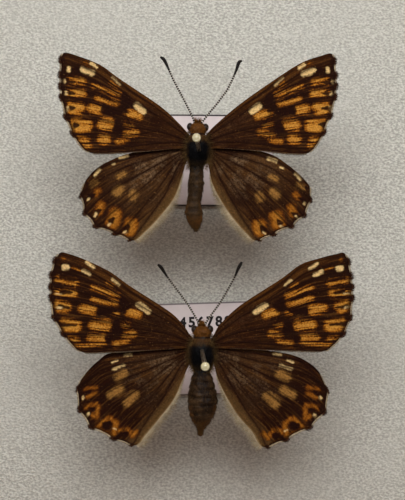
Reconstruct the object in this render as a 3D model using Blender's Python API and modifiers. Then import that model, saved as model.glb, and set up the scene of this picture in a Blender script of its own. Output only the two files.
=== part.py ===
"""A small insect collection drawer: a finger-jointed box with a foam lining,
which holds two pinned butterflies, one behind the other, with their data labels.

Frame: the origin is at the centre of the underside, +X is to the right, +Y to
the back and +Z up. The knob is on the front, at -Y. Lengths are in metres,
written as millimetres times MM.
"""

import math

import bmesh
import bpy
from mathutils import Matrix, Vector

MM = 0.001

# The box
OUTER_X = 92 * MM
OUTER_Y = 113 * MM
HEIGHT = 48 * MM
WALL = 5 * MM
FINGERS = 6
JOINT_GAP = 0.15 * MM
ARRIS = 0.4 * MM
LID_LEDGE = 2 * MM
LID_DEPTH = 3 * MM
BOTTOM_THICKNESS = 3 * MM
BOTTOM_LEDGE = 2.5 * MM
SLOT_Z = 28 * MM
SLOT_HEIGHT = 3 * MM
SLOT_DEPTH = 2 * MM
SLOT_STOP = 9 * MM
OVERRUN = 2 * MM  # how far a cutter passes the face that it opens

# The lining
FOAM_GAP = 0.3 * MM
FOAM_THICKNESS = 10 * MM
FOAM_BASE = BOTTOM_THICKNESS + FOAM_GAP
FLOOR = FOAM_BASE + FOAM_THICKNESS

# The fittings on the front board
KNOB_Z = 16 * MM
SHANK_CLEARANCE = 0.3 * MM
KNOB_SHANK_RADIUS = 1.2 * MM
KNOB_SHANK_LENGTH = 3.8 * MM
HOLDER_Z = 35 * MM
HOLDER_SIZE = Vector((38, 1.6, 15)) * MM
WINDOW_SIZE = Vector((25, 0, 8.5)) * MM
CARD_SIZE = Vector((28, 0.35, 11)) * MM
CARD_GAP = 0.3 * MM
TACK_X = 16.4 * MM
TACK_SHANK_RADIUS = 0.4 * MM
TACK_SHANK_LENGTH = 3 * MM

# The specimens
WING_Z = FLOOR + 15 * MM  # the underside of the forewings
WING_THICKNESS = 0.25 * MM
WING_GAP = 0.3 * MM
PIN_RADIUS = 0.225 * MM
PIN_LENGTH = 38 * MM
PIN_POINT = 1.2 * MM
PIN_ABOVE_WINGS = 14.6 * MM
PIN_CLEARANCE = 0.1 * MM
PIN_HEAD_RADIUS = 0.42 * MM
PIN_HEAD_GAP = 0.05 * MM
ANTENNA_RADIUS = 0.09 * MM
ANTENNA_BASE_RISE = 0.25 * MM
ANTENNA_TIP_RISE = 1.15 * MM
CLUB_SWELLING = (1.2, 2.1, 1.7)  # the last points' thickness, as multiples of the shaft's
LABEL_SIZE = Vector((18, 11.2, 0.25)) * MM
LABEL_LIFT = 0.3 * MM

# Each specimen has a frame of its own, in millimetres: x out from the body and
# y towards the head. A wing's outline runs from the front of its root out along
# the leading edge, down the outer edge and back along the trailing edge.
# A body part is a centre (x, y) and its three half sizes.
SPECIMENS = {
    "upper": {
        "centre": (-0.63, 11.07),
        "turn": -0.8,
        "pin_entry": (0.28, -0.41),
        "pin_lean": (-0.8, -0.9),  # degrees to the right and to the back
        "label_centre": (-0.4, 10.97),
        "label_turn": 0.4,
        "thorax": ((0.0, -0.3), (1.22, 2.05, 1.35)),
        "head": ((0.0, 2.0), (1.05, 0.85, 0.85)),
        "abdomen": ((-0.1, -5.3), (0.95, 3.65, 0.9)),
        "forewing": [
            (1.4, 1.7), (2.7, 3.0), (7.0, 6.3), (11.3, 9.1), (14.0, 10.0), (14.6, 9.3), (14.7, 7.2),
            (14.4, 4.4), (13.7, 2.1), (12.8, 0.4), (11.9, -0.6), (9.1, -0.75), (4.6, -0.5), (1.4, -0.2),
        ],
        "hindwing": [
            (1.4, 0.1), (4.5, 0.6), (8.3, -0.5), (10.2, -1.9), (11.6, -3.3), (12.3, -4.7), (12.0, -6.9),
            (10.7, -8.3), (8.7, -9.3), (6.7, -10.1), (5.6, -9.4), (3.6, -7.0), (1.9, -4.2), (1.4, -1.4),
        ],
        "antenna": [(0.28, 2.9), (1.5, 4.6), (2.7, 6.6), (3.6, 8.2), (4.1, 9.4), (4.5, 9.7)],
    },
    "lower": {
        "centre": (-0.11, -10.75),
        "turn": -0.3,
        "pin_entry": (0.02, 0.02),
        "pin_lean": (1.4, -0.4),
        "label_centre": (-0.1, -12.08),
        "label_turn": 2.1,
        "thorax": ((0.1, -0.5), (1.3, 2.05, 1.45)),
        "head": ((0.1, 1.95), (1.1, 0.8, 0.85)),
        "abdomen": ((0.0, -5.6), (1.6, 3.7, 1.35)),
        "forewing": [
            (1.5, 1.6), (2.3, 3.2), (5.4, 5.5), (9.7, 8.3), (13.4, 10.1), (15.5, 10.1), (16.0, 8.4),
            (16.1, 6.2), (15.8, 3.6), (14.9, 1.5), (13.4, 0.0), (11.0, -0.35), (5.5, -0.1), (1.5, 0.1),
        ],
        "hindwing": [
            (1.5, 0.4), (4.5, 0.9), (9.2, -0.4), (11.5, -1.8), (13.2, -3.4), (13.5, -4.9), (13.3, -6.6),
            (11.9, -8.4), (9.5, -9.6), (7.1, -10.3), (5.9, -9.1), (3.8, -6.4), (2.0, -3.4), (1.5, -1.2),
        ],
        "antenna": [(0.4, 2.8), (1.4, 4.4), (2.7, 6.4), (3.6, 7.8), (4.1, 8.9), (4.25, 9.5)],
    },
}

# Finish: colour, roughness, metallic
FINISHES = {
    "wood": ((0.42, 0.25, 0.13), 0.5, 0.0),
    "plywood": ((0.62, 0.47, 0.31), 0.7, 0.0),
    "foam": ((0.55, 0.54, 0.51), 0.9, 0.0),
    "brass": ((0.62, 0.47, 0.22), 0.35, 1.0),
    "card": ((0.78, 0.74, 0.62), 0.9, 0.0),
    "paper": ((0.72, 0.70, 0.72), 0.9, 0.0),
    "wing_scales": ((0.16, 0.075, 0.025), 0.7, 0.0),
    "body_hair": ((0.06, 0.045, 0.03), 0.9, 0.0),
    "antenna": ((0.01, 0.008, 0.006), 0.6, 0.0),
    "steel": ((0.5, 0.5, 0.48), 0.3, 1.0),
    "pin_enamel": ((0.75, 0.72, 0.52), 0.3, 0.0),
}


def new_collection(name):
    made = bpy.data.collections.new(name)
    bpy.context.scene.collection.children.link(made)
    return made


def new_material(name):
    colour, roughness, metallic = FINISHES[name]
    made = bpy.data.materials.new(name)
    made.use_nodes = True
    shader = made.node_tree.nodes["Principled BSDF"]
    shader.inputs["Base Color"].default_value = (*colour, 1)
    shader.inputs["Roughness"].default_value = roughness
    shader.inputs["Metallic"].default_value = metallic
    return made


def add_object(name, data, finish, parent=None):
    """A piece of the drawer in its finish, or a hidden cutter where finish is None."""
    made = bpy.data.objects.new(name, data)
    made.parent = parent
    if finish:
        data.materials.append(MATERIALS[finish])
        DRAWER.objects.link(made)
    else:
        made.hide_render = True
        made.display_type = "WIRE"
        CUTTERS.objects.link(made)
    return made


def add_shape(name, shape, finish, parent=None):
    mesh = bpy.data.meshes.new(name)
    shape.to_mesh(mesh)
    shape.free()
    return add_object(name, mesh, finish, parent)


def block(name, centre, size, finish=None, parent=None):
    shape = bmesh.new()
    bmesh.ops.create_cube(shape, size=1)
    bmesh.ops.scale(shape, vec=size, verts=shape.verts)
    made = add_shape(name, shape, finish, parent)
    made.location = centre
    return made


def cut(piece, cutter, operation="DIFFERENCE"):
    boolean = piece.modifiers.new(cutter.name, "BOOLEAN")
    boolean.operation = operation
    boolean.object = cutter


def soften(piece, width=ARRIS):
    bevel = piece.modifiers.new("softened edges", "BEVEL")
    bevel.width = width
    bevel.segments = 2
    return bevel


def turned(name, profile, finish=None, parent=None, steps=32):
    """A turned shape about its own Z, from (radius, height) points that run top to bottom."""
    mesh = bpy.data.meshes.new(name)
    points = [(radius, 0, height) for radius, height in profile]
    mesh.from_pydata(points, [(i, i + 1) for i in range(len(points) - 1)], [])
    made = add_object(name, mesh, finish, parent)
    screw = made.modifiers.new("turned", "SCREW")
    screw.steps = steps
    screw.render_steps = steps
    screw.use_merge_vertices = True
    screw.merge_threshold = 0.00001
    return made


def face_front(piece, x, z):
    """Stand a turned piece on the front board, with its own +Z pointing out of the drawer."""
    piece.location = (x, -OUTER_Y / 2, z)
    piece.rotation_euler = (math.pi / 2, 0, 0)


def shank_hole(name, x, z, radius, depth, proud):
    """A blind hole's cutter in the front board, which also passes through what lies on it."""
    wide = radius + SHANK_CLEARANCE
    deep = -depth - SHANK_CLEARANCE
    hole = turned(name, [(0, proud), (wide, proud), (wide, deep), (0, deep)], steps=16)
    face_front(hole, x, z)
    return hole


# The box


def soften_outside(board):
    """Round a board's edges only where they are edges of the whole box."""
    mesh = board.data
    weight = mesh.attributes.new("bevel_weight_edge", "FLOAT", "EDGE")
    for edge in mesh.edges:
        middle = board.location + sum((mesh.vertices[i].co for i in edge.vertices), Vector()) / 2
        outside = (
            math.isclose(abs(middle.x), OUTER_X / 2, abs_tol=0.01 * MM),
            math.isclose(abs(middle.y), OUTER_Y / 2, abs_tol=0.01 * MM),
            math.isclose(abs(middle.z - HEIGHT / 2), HEIGHT / 2, abs_tol=0.01 * MM),
        )
        weight.data[edge.index].value = 1.0 if sum(outside) == 2 else 0.0
    soften(board).limit_method = "WEIGHT"


def cut_fingers(board, side, end, first):
    """Take every second finger out of a board's end, from the one numbered first."""
    pitch = HEIGHT / FINGERS
    reach = WALL + JOINT_GAP
    x = side * (OUTER_X - reach + OVERRUN) / 2
    y = end * (OUTER_Y - reach + OVERRUN) / 2
    for finger in range(first, FINGERS, 2):
        low = finger * pitch - (OVERRUN if finger == 0 else JOINT_GAP)
        high = (finger + 1) * pitch + (OVERRUN if finger == FINGERS - 1 else JOINT_GAP)
        size = (reach + OVERRUN, reach + OVERRUN, high - low)
        cut(board, block(f"{board.name}_gap_{side}_{end}_{finger}", (x, y, (low + high) / 2), size))


def walls():
    """Front and back boards, side boards with their runner slots, and the bottom."""
    boards = {}
    for name, end in (("front_panel", -1), ("back_panel", 1)):
        centre = (0, end * (OUTER_Y - WALL) / 2, HEIGHT / 2)
        boards[name] = block(name, centre, (OUTER_X, WALL, HEIGHT), "wood")
        soften_outside(boards[name])
        for side in (-1, 1):
            cut_fingers(boards[name], side, end, first=1)
    for name, side in (("left_side", -1), ("right_side", 1)):
        centre = (side * (OUTER_X - WALL) / 2, 0, HEIGHT / 2)
        boards[name] = block(name, centre, (WALL, OUTER_Y, HEIGHT), "wood")
        soften_outside(boards[name])
        for end in (-1, 1):
            cut_fingers(boards[name], side, end, first=0)
        slot_centre = (side * (OUTER_X - SLOT_DEPTH + OVERRUN) / 2, (SLOT_STOP + OVERRUN) / 2, SLOT_Z)
        slot_size = (SLOT_DEPTH + OVERRUN, OUTER_Y - SLOT_STOP + OVERRUN, SLOT_HEIGHT)
        cut(boards[name], block(f"{name}_slot", slot_centre, slot_size))

    inner = Vector((OUTER_X - 2 * WALL, OUTER_Y - 2 * WALL, 0))
    lid = inner + Vector((2 * LID_LEDGE, 2 * LID_LEDGE, LID_DEPTH + OVERRUN))
    lid_space = block("lid_space", (0, 0, HEIGHT - LID_DEPTH + lid.z / 2), lid)
    bottom = inner + Vector((2 * BOTTOM_LEDGE, 2 * BOTTOM_LEDGE, BOTTOM_THICKNESS))
    space = bottom + Vector((2 * JOINT_GAP, 2 * JOINT_GAP, JOINT_GAP + OVERRUN))
    bottom_space = block("bottom_space", (0, 0, bottom.z + JOINT_GAP - space.z / 2), space)
    for board in boards.values():
        cut(board, lid_space)
        cut(board, bottom_space)
    block("bottom_panel", (0, 0, bottom.z / 2), bottom, "plywood")
    return boards


def foam_lining():
    size = (OUTER_X - 2 * WALL - 2 * JOINT_GAP, OUTER_Y - 2 * WALL - 2 * JOINT_GAP, FOAM_THICKNESS)
    foam = block("foam_lining", (0, 0, FOAM_BASE + FOAM_THICKNESS / 2), size, "foam")
    soften(foam)
    return foam


# The fittings on the front board


def knob(front_board):
    """A turned brass knob, with a foot on the board and a shank in it."""
    outside = [
        (0, 12), (2.2, 11.8), (4.4, 10.9), (5.6, 9.3), (5.6, 7.7), (4.4, 6.2),
        (2.6, 5.0), (2.2, 3.4), (2.6, 2.0), (4.6, 1.2), (4.8, 0.5),
    ]
    profile = [(radius * MM, height * MM) for radius, height in outside]
    foot_radius = profile[-1][0]
    profile += [(foot_radius, JOINT_GAP), (KNOB_SHANK_RADIUS, JOINT_GAP)]
    profile += [(KNOB_SHANK_RADIUS, -KNOB_SHANK_LENGTH), (0, -KNOB_SHANK_LENGTH)]
    face_front(turned("knob", profile, "brass"), 0, KNOB_Z)
    cut(front_board, shank_hole("knob_hole", 0, KNOB_Z, KNOB_SHANK_RADIUS, KNOB_SHANK_LENGTH, OVERRUN))


def card_holder(front_board):
    """A brass frame with a window, a pocket behind it that is open at the top, and two tacks."""
    back = -OUTER_Y / 2 - JOINT_GAP
    place = Vector((0, back - HOLDER_SIZE.y / 2, HOLDER_Z))
    holder = block("card_holder", place, HOLDER_SIZE, "brass")
    soften(holder, ARRIS / 2)
    cut(holder, block("card_window", place, WINDOW_SIZE + Vector((0, 2 * HOLDER_SIZE.y, 0))))
    pocket = CARD_SIZE + Vector((2 * CARD_GAP, 2 * CARD_GAP + OVERRUN, 2 * CARD_GAP + HOLDER_SIZE.z))
    pocket_y = back - CARD_SIZE.y - 2 * CARD_GAP + pocket.y / 2
    cut(holder, block("card_pocket", (0, pocket_y, HOLDER_Z + HOLDER_SIZE.z / 2), pocket))
    block("card", (0, back - CARD_GAP - CARD_SIZE.y / 2, HOLDER_Z), CARD_SIZE, "card")

    seat = HOLDER_SIZE.y + 2 * JOINT_GAP
    head = [(0, 0.6), (0.7, 0.45), (1.1, 0)]
    profile = [(radius * MM, seat + height * MM) for radius, height in head]
    profile += [(TACK_SHANK_RADIUS, seat), (TACK_SHANK_RADIUS, -TACK_SHANK_LENGTH), (0, -TACK_SHANK_LENGTH)]
    for side, x in (("left", -TACK_X), ("right", TACK_X)):
        face_front(turned(f"card_tack_{side}", profile, "brass", steps=16), x, HOLDER_Z)
        hole = shank_hole(f"tack_hole_{side}", x, HOLDER_Z, TACK_SHANK_RADIUS, TACK_SHANK_LENGTH, 2 * seat)
        cut(holder, hole)
        cut(front_board, hole)


# The specimens


def frame_of_its_own(name, facts):
    """An empty at the level of the wings, which the specimen's pieces are parented to."""
    empty = bpy.data.objects.new(f"{name}_specimen", None)
    DRAWER.objects.link(empty)
    x, y = facts["centre"]
    empty.location = (x * MM, y * MM, WING_Z)
    empty.rotation_euler.z = math.radians(facts["turn"])
    return empty


def pin(name, facts, specimen):
    """The steel shank and its enamelled head. Returns the cutter of the hole that it makes."""
    lean_right, lean_back = (math.radians(angle) for angle in facts["pin_lean"])
    lean = Matrix.Rotation(lean_right, 4, "Y") @ Matrix.Rotation(-lean_back, 4, "X")
    place = Matrix.Translation(Vector((*facts["pin_entry"], 0)) * MM) @ lean

    top = PIN_ABOVE_WINGS - 2 * PIN_HEAD_RADIUS
    point = PIN_ABOVE_WINGS - PIN_LENGTH
    shank = [(0, top), (PIN_RADIUS, top), (PIN_RADIUS, point + PIN_POINT), (0, point)]
    centre = PIN_ABOVE_WINGS - PIN_HEAD_RADIUS
    lowest = math.asin((top + PIN_HEAD_GAP - centre) / PIN_HEAD_RADIUS)
    steps = 8
    angles = [math.pi / 2 + (lowest - math.pi / 2) * i / steps for i in range(steps + 1)]
    ball = [(PIN_HEAD_RADIUS * math.cos(a), centre + PIN_HEAD_RADIUS * math.sin(a)) for a in angles]
    ball.append((0, top + PIN_HEAD_GAP))
    wide = PIN_RADIUS + PIN_CLEARANCE
    deep = point - PIN_CLEARANCE
    hole = [(0, top), (wide, top), (wide, deep), (0, deep)]
    turned(f"{name}_pin", shank, "steel", specimen, steps=16).matrix_local = place
    turned(f"{name}_pin_head", ball, "pin_enamel", specimen, steps=16).matrix_local = place
    cutter = turned(f"{name}_pin_hole", hole, None, specimen, steps=16)
    cutter.matrix_local = place
    return cutter


def body(name, facts, specimen, hole):
    """Head, thorax and abdomen in one solid, pierced by the pin."""
    lie_down = Matrix.Rotation(math.pi / 2, 3, "X")
    pieces = []
    for part, piece_name, finish in (
        ("thorax", f"{name}_body", "body_hair"),
        ("head", f"{name}_head", None),
        ("abdomen", f"{name}_abdomen", None),
    ):
        centre, half_sizes = facts[part]
        shape = bmesh.new()
        bmesh.ops.create_uvsphere(shape, u_segments=20, v_segments=12, radius=MM)
        bmesh.ops.rotate(shape, matrix=lie_down, verts=shape.verts)
        bmesh.ops.scale(shape, vec=half_sizes, verts=shape.verts)
        made = add_shape(piece_name, shape, finish, specimen)
        made.location = Vector((*centre, 0)) * MM
        pieces.append(made)
    whole, *others = pieces
    for other in others:
        cut(whole, other, "UNION")
    cut(whole, hole)


def wing(name, outline, side, specimen, height):
    """A thin plate with the wing's outline; side is -1 for left and 1 for right."""
    curve = bpy.data.curves.new(name, "CURVE")
    curve.dimensions = "2D"
    curve.fill_mode = "BOTH"
    curve.extrude = WING_THICKNESS / 2
    curve.resolution_u = 3
    spline = curve.splines.new("BEZIER")
    spline.use_cyclic_u = True
    spline.bezier_points.add(len(outline) - 1)
    for point, (x, y) in zip(spline.bezier_points, outline):
        point.co = (side * x * MM, y * MM, 0)
        point.handle_left_type = "AUTO"
        point.handle_right_type = "AUTO"
    add_object(name, curve, "wing_scales", specimen).location.z = height


def antenna(name, route, side, specimen):
    """A thin rod that rises from the head and swells into a club."""
    curve = bpy.data.curves.new(name, "CURVE")
    curve.dimensions = "3D"
    curve.bevel_depth = ANTENNA_RADIUS
    curve.bevel_resolution = 2
    curve.use_fill_caps = True
    spline = curve.splines.new("POLY")
    spline.points.add(len(route) - 1)
    swelling = [1.0] * (len(route) - len(CLUB_SWELLING)) + list(CLUB_SWELLING)
    for i, (x, y) in enumerate(route):
        rise = ANTENNA_BASE_RISE + (ANTENNA_TIP_RISE - ANTENNA_BASE_RISE) * i / (len(route) - 1)
        spline.points[i].co = (side * x * MM, y * MM, rise, 1)
        spline.points[i].radius = swelling[i]
    add_object(name, curve, "antenna", specimen)


def data_label(name, facts, hole):
    label = block(f"{name}_label", (0, 0, 0), LABEL_SIZE, "paper")
    x, y = facts["label_centre"]
    label.location = (x * MM, y * MM, FLOOR + LABEL_LIFT + LABEL_SIZE.z / 2)
    label.rotation_euler.z = math.radians(facts["label_turn"])
    cut(label, hole)


def pinned_butterfly(name, facts, foam):
    specimen = frame_of_its_own(name, facts)
    hole = pin(name, facts, specimen)
    cut(foam, hole)
    body(name, facts, specimen, hole)
    data_label(name, facts, hole)
    above = WING_THICKNESS / 2
    below = -WING_GAP - WING_THICKNESS / 2
    for side_name, side in (("left", -1), ("right", 1)):
        wing(f"{name}_forewing_{side_name}", facts["forewing"], side, specimen, above)
        wing(f"{name}_hindwing_{side_name}", facts["hindwing"], side, specimen, below)
        antenna(f"{name}_antenna_{side_name}", facts["antenna"], side, specimen)


for left_over in list(bpy.data.objects):
    bpy.data.objects.remove(left_over)
DRAWER = new_collection("insect collection drawer")
CUTTERS = new_collection("cutters")
MATERIALS = {finish: new_material(finish) for finish in FINISHES}

box = walls()
knob(box["front_panel"])
card_holder(box["front_panel"])
lining = foam_lining()
for specimen_name, specimen_facts in SPECIMENS.items():
    pinned_butterfly(specimen_name, specimen_facts, lining)
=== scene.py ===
# %% [markdown]
# # A small insect collection drawer
# A finger-jointed wooden box is lined with pale foam, and two butterflies are
# pinned in it over their data labels. The box is already modelled: it comes in as
# a fixed frame of named nodes. This script gives those nodes their finish, and
# models the living surfaces anew: wings, bodies, hair, antennae, foam and paper.

# %% Load the frame
import math

import bmesh
import bpy
import numpy as np
from mathutils import Matrix, Vector, noise


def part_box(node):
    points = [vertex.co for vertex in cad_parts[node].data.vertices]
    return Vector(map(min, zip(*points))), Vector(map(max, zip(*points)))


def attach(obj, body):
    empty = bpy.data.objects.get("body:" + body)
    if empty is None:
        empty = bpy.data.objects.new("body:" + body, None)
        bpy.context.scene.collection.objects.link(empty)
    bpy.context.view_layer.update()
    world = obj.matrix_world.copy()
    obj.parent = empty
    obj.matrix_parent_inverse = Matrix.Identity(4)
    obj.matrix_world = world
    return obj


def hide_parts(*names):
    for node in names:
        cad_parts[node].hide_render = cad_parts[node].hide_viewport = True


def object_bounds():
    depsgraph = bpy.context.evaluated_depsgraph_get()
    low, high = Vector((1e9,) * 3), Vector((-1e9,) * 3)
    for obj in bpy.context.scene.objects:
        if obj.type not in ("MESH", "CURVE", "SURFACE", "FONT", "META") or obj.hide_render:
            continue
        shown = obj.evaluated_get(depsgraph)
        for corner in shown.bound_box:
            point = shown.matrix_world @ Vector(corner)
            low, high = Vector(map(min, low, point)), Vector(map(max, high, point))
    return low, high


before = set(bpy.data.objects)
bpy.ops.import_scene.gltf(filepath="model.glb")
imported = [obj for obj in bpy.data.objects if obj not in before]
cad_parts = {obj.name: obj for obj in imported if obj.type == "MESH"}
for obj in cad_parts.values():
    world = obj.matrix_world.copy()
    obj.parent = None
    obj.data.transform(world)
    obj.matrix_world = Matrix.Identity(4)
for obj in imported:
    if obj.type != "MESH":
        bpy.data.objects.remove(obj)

cad_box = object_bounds()
MM = 0.001
chance = np.random.default_rng(11)
print("nodes in the frame:", len(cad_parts))

# %% [markdown]
# ## Where things are
# Every place is read from the frame. Each specimen has a frame of its own, in
# millimetres: x out to the right, y towards the head, z up. Its origin is where the
# wings meet the body, at the level of the forewings' underside.

# %% Places
SPECIMENS = ("upper", "lower")
SIDES = {"left": -1, "right": 1}
ROOT_BEHIND_FRONT = {"upper": 10.15, "lower": 10.35}  # from the forewings' tips back to the origin


def origin(name):
    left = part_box(f"{name}_forewing_left")
    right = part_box(f"{name}_forewing_right")
    x = (left[0].x + right[1].x) / 2
    y = max(left[1].y, right[1].y) - ROOT_BEHIND_FRONT[name] * MM
    return Vector((x, y, left[0].z))


ORIGINS = {name: origin(name) for name in SPECIMENS}
ORIGINS_MM = {name: np.array(ORIGINS[name]) / MM for name in SPECIMENS}
WING_LEVEL = ORIGINS["upper"].z
LINING_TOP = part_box("foam_lining")[1].z
print("origins in mm:", {name: tuple(round(c / MM, 2) for c in ORIGINS[name]) for name in SPECIMENS})

# %% [markdown]
# ## Camera
# A collection drawer is looked at from straight above, close enough that the
# specimens fill the field and the walls stay outside it. The lens follows from the
# distance and from the height of the field at the level of the wings.

# %% Camera
CAMERA_ABOVE_WINGS = 105 * MM
FIELD_HEIGHT = 53.75 * MM
SENSOR = 36

camera_data = bpy.data.cameras.new("camera")
camera_data.sensor_width = SENSOR
camera_data.lens = SENSOR * CAMERA_ABOVE_WINGS / FIELD_HEIGHT
camera_data.clip_start = 0.001
camera = bpy.data.objects.new("camera", camera_data)
camera.location = (0, 0, WING_LEVEL + CAMERA_ABOVE_WINGS)
bpy.context.collection.objects.link(camera)
bpy.context.scene.camera = camera
print("lens in mm:", round(camera_data.lens, 2))

# %% [markdown]
# ## Light
# One soft box hangs close above the back of the drawer, as a desk lamp would. The
# wings are 15 mm over the foam, so their shadows fall towards the front as wide soft
# pools, and because the lamp is near, the front specimen's pool falls further. An
# even grey surround fills them. Four low lights, kept out of the drawer by its own
# walls, show the outside.

# %% Light
LAMP_PLACE = (0.0, 0.083, 0.18)
LAMP_SIZE = (0.16, 0.09)
LAMP_WATTS = 0.37
SIDE_LIGHT_AWAY = 0.85
SIDE_LIGHT_HEIGHT = 0.2
SIDE_LIGHT_SIZE = (0.8, 0.2)
SIDE_LIGHT_WATTS = 4.2
SIDE_LIGHT_AIM = (0, 0, 0.02)
SURROUND_STRENGTH = 0.19

bpy.context.scene.view_settings.view_transform = "Standard"


def soft_box(name, place, aim, size, watts, colour=(1.0, 0.985, 0.955)):
    light = bpy.data.lights.new(name, "AREA")
    light.shape = "RECTANGLE"
    light.size, light.size_y = size
    light.energy = watts
    light.color = colour
    made = bpy.data.objects.new(name, light)
    made.location = place
    made.rotation_euler = (Vector(aim) - Vector(place)).to_track_quat("-Z", "Y").to_euler()
    made.visible_camera = False
    bpy.context.collection.objects.link(made)


soft_box("lamp", LAMP_PLACE, (0, 0, LINING_TOP), LAMP_SIZE, LAMP_WATTS)
for side, (x, y) in enumerate(((0, -1), (1, 0), (0, 1), (-1, 0))):
    place = (x * SIDE_LIGHT_AWAY, y * SIDE_LIGHT_AWAY, SIDE_LIGHT_HEIGHT)
    soft_box(f"side_light_{side}", place, SIDE_LIGHT_AIM, SIDE_LIGHT_SIZE, SIDE_LIGHT_WATTS)
world = bpy.data.worlds.new("surround")
world.use_nodes = True
world.node_tree.nodes["Background"].inputs["Color"].default_value = (0.93, 0.95, 1.0, 1)
world.node_tree.nodes["Background"].inputs["Strength"].default_value = SURROUND_STRENGTH
bpy.context.scene.world = world

# %% [markdown]
# ## Helpers for finishes
# A finish is a Principled shader with a few nodes before it. These helpers add a
# node and feed its inputs, with a plain value or with another node's output, so
# that each finish below reads as a short recipe. Colours are given as they look on
# a screen, from 0 to 255, and turned into the linear values that light needs.

# %% Finish helpers
def tint(red, green, blue):
    def linear(value):
        value /= 255
        return value / 12.92 if value <= 0.04045 else ((value + 0.055) / 1.055) ** 2.4

    return (linear(red), linear(green), linear(blue), 1)


def new_finish(name, roughness, **values):
    """A material, its node tree and its shader. Values go on the shader's own sockets."""
    material = bpy.data.materials.new(name)
    material.use_nodes = True
    shader = material.node_tree.nodes["Principled BSDF"]
    shader.inputs["Roughness"].default_value = roughness
    for socket, value in values.items():
        shader.inputs[socket.replace("_", " ")].default_value = value
    return material, material.node_tree, shader


def feed(tree, socket, value):
    if isinstance(value, bpy.types.NodeSocket):
        tree.links.new(value, socket)
    else:
        socket.default_value = value


def noise_of(tree, scale, detail, vector, roughness=0.55):
    made = tree.nodes.new("ShaderNodeTexNoise")
    made.inputs["Scale"].default_value = scale
    made.inputs["Detail"].default_value = detail
    made.inputs["Roughness"].default_value = roughness
    feed(tree, made.inputs["Vector"], vector)
    return made.outputs["Fac"]


def place_in(tree, source, scale=(1, 1, 1), turn=(0, 0, 0), shift=(0, 0, 0)):
    """The object's own coordinates or its UV map, scaled, turned and moved."""
    coordinates = tree.nodes.new("ShaderNodeTexCoord")
    mapping = tree.nodes.new("ShaderNodeMapping")
    mapping.inputs["Scale"].default_value = scale
    mapping.inputs["Rotation"].default_value = turn
    mapping.inputs["Location"].default_value = shift
    tree.links.new(coordinates.outputs[source], mapping.inputs["Vector"])
    return mapping.outputs["Vector"]


def attribute(tree, name):
    made = tree.nodes.new("ShaderNodeAttribute")
    made.attribute_name = name
    return made.outputs["Fac"]


def sum_of(tree, first, second, operation="ADD", clamp=False):
    made = tree.nodes.new("ShaderNodeMath")
    made.operation = operation
    made.use_clamp = clamp
    feed(tree, made.inputs[0], first)
    feed(tree, made.inputs[1], second)
    return made.outputs[0]


def spread(tree, value, low, high, to_low=0.0, to_high=1.0):
    """The value from low to high, stretched to a new range and clamped."""
    made = tree.nodes.new("ShaderNodeMapRange")
    made.interpolation_type = "SMOOTHSTEP"
    feed(tree, made.inputs["Value"], value)
    for socket, number in (("From Min", low), ("From Max", high), ("To Min", to_low), ("To Max", to_high)):
        made.inputs[socket].default_value = number
    return made.outputs["Result"]


def blend(tree, factor, first, second, way="MIX"):
    made = tree.nodes.new("ShaderNodeMix")
    made.data_type = "RGBA"
    made.blend_type = way
    feed(tree, made.inputs[0], factor)
    feed(tree, made.inputs[6], first)
    feed(tree, made.inputs[7], second)
    return made.outputs[2]


def relief(tree, shader, height, depth, strength=1.0):
    bump = tree.nodes.new("ShaderNodeBump")
    bump.inputs["Distance"].default_value = depth
    bump.inputs["Strength"].default_value = strength
    tree.links.new(height, bump.inputs["Height"])
    tree.links.new(bump.outputs["Normal"], shader.inputs["Normal"])


def colour(tree, shader, value):
    feed(tree, shader.inputs["Base Color"], value)


def gloss(tree, shader, value, low, high):
    tree.links.new(spread(tree, value, 0.3, 0.7, low, high), shader.inputs["Roughness"])


# %% [markdown]
# ## Helpers for shapes
# Nearly every living surface here is one sheet that has been bent: a wing is a sheet
# stretched between its edges, and a body is a sheet rolled into a tube. So one
# helper starts from a grid, whose u and v run from 0 to 1, and moves each vertex to
# the place that a formula gives. The grid keeps its UV map, which then follows the
# surface. Hair and fringes are one small cone, copied to many places.

# %% Shape helpers
def add_piece(name, mesh, finish, body="root"):
    made = bpy.data.objects.new(name, mesh)
    mesh.materials.append(finish)
    bpy.context.collection.objects.link(made)
    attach(made, body)
    return made


def store(mesh, name, values):
    made = mesh.attributes.new(name, "FLOAT", "POINT")
    made.data.foreach_set("value", np.asarray(values, np.float32))


def mesh_of(shape, name):
    """The mesh that a finished bmesh comes to."""
    mesh = bpy.data.meshes.new(name)
    shape.to_mesh(mesh)
    shape.free()
    return mesh


def bent_sheet(name, across, along, place, marks=None):
    """A grid with every vertex moved to place(u, v), in metres, and its marks stored on it."""
    shape = bmesh.new()
    shape.loops.layers.uv.new("UVMap")
    bmesh.ops.create_grid(shape, x_segments=across, y_segments=along, size=0.5, calc_uvs=True)
    mesh = mesh_of(shape, name)
    flat = np.empty(len(mesh.vertices) * 3, np.float32)
    mesh.vertices.foreach_get("co", flat)
    u, v = flat.reshape(-1, 3)[:, 0] + 0.5, flat.reshape(-1, 3)[:, 1] + 0.5
    mesh.vertices.foreach_set("co", np.asarray(place(u, v), np.float32).ravel())
    for mark, values in (marks(u, v) if marks else {}).items():
        store(mesh, mark, values)
    return mesh


def close_up(mesh, gap=0.002 * MM):
    """Merge a rolled sheet's seam and poles, and turn its faces outwards."""
    shape = bmesh.new()
    shape.from_mesh(mesh)
    bmesh.ops.remove_doubles(shape, verts=shape.verts, dist=gap)
    bmesh.ops.recalc_face_normals(shape, faces=shape.faces)
    shape.to_mesh(mesh)
    shape.free()
    mesh.shade_smooth()


def solid_sheet(piece, thickness, offset=-1):
    made = piece.modifiers.new("thickness", "SOLIDIFY")
    made.thickness = thickness
    made.offset = offset
    piece.data.shade_smooth()


SPAN_STEPS = 16


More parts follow.
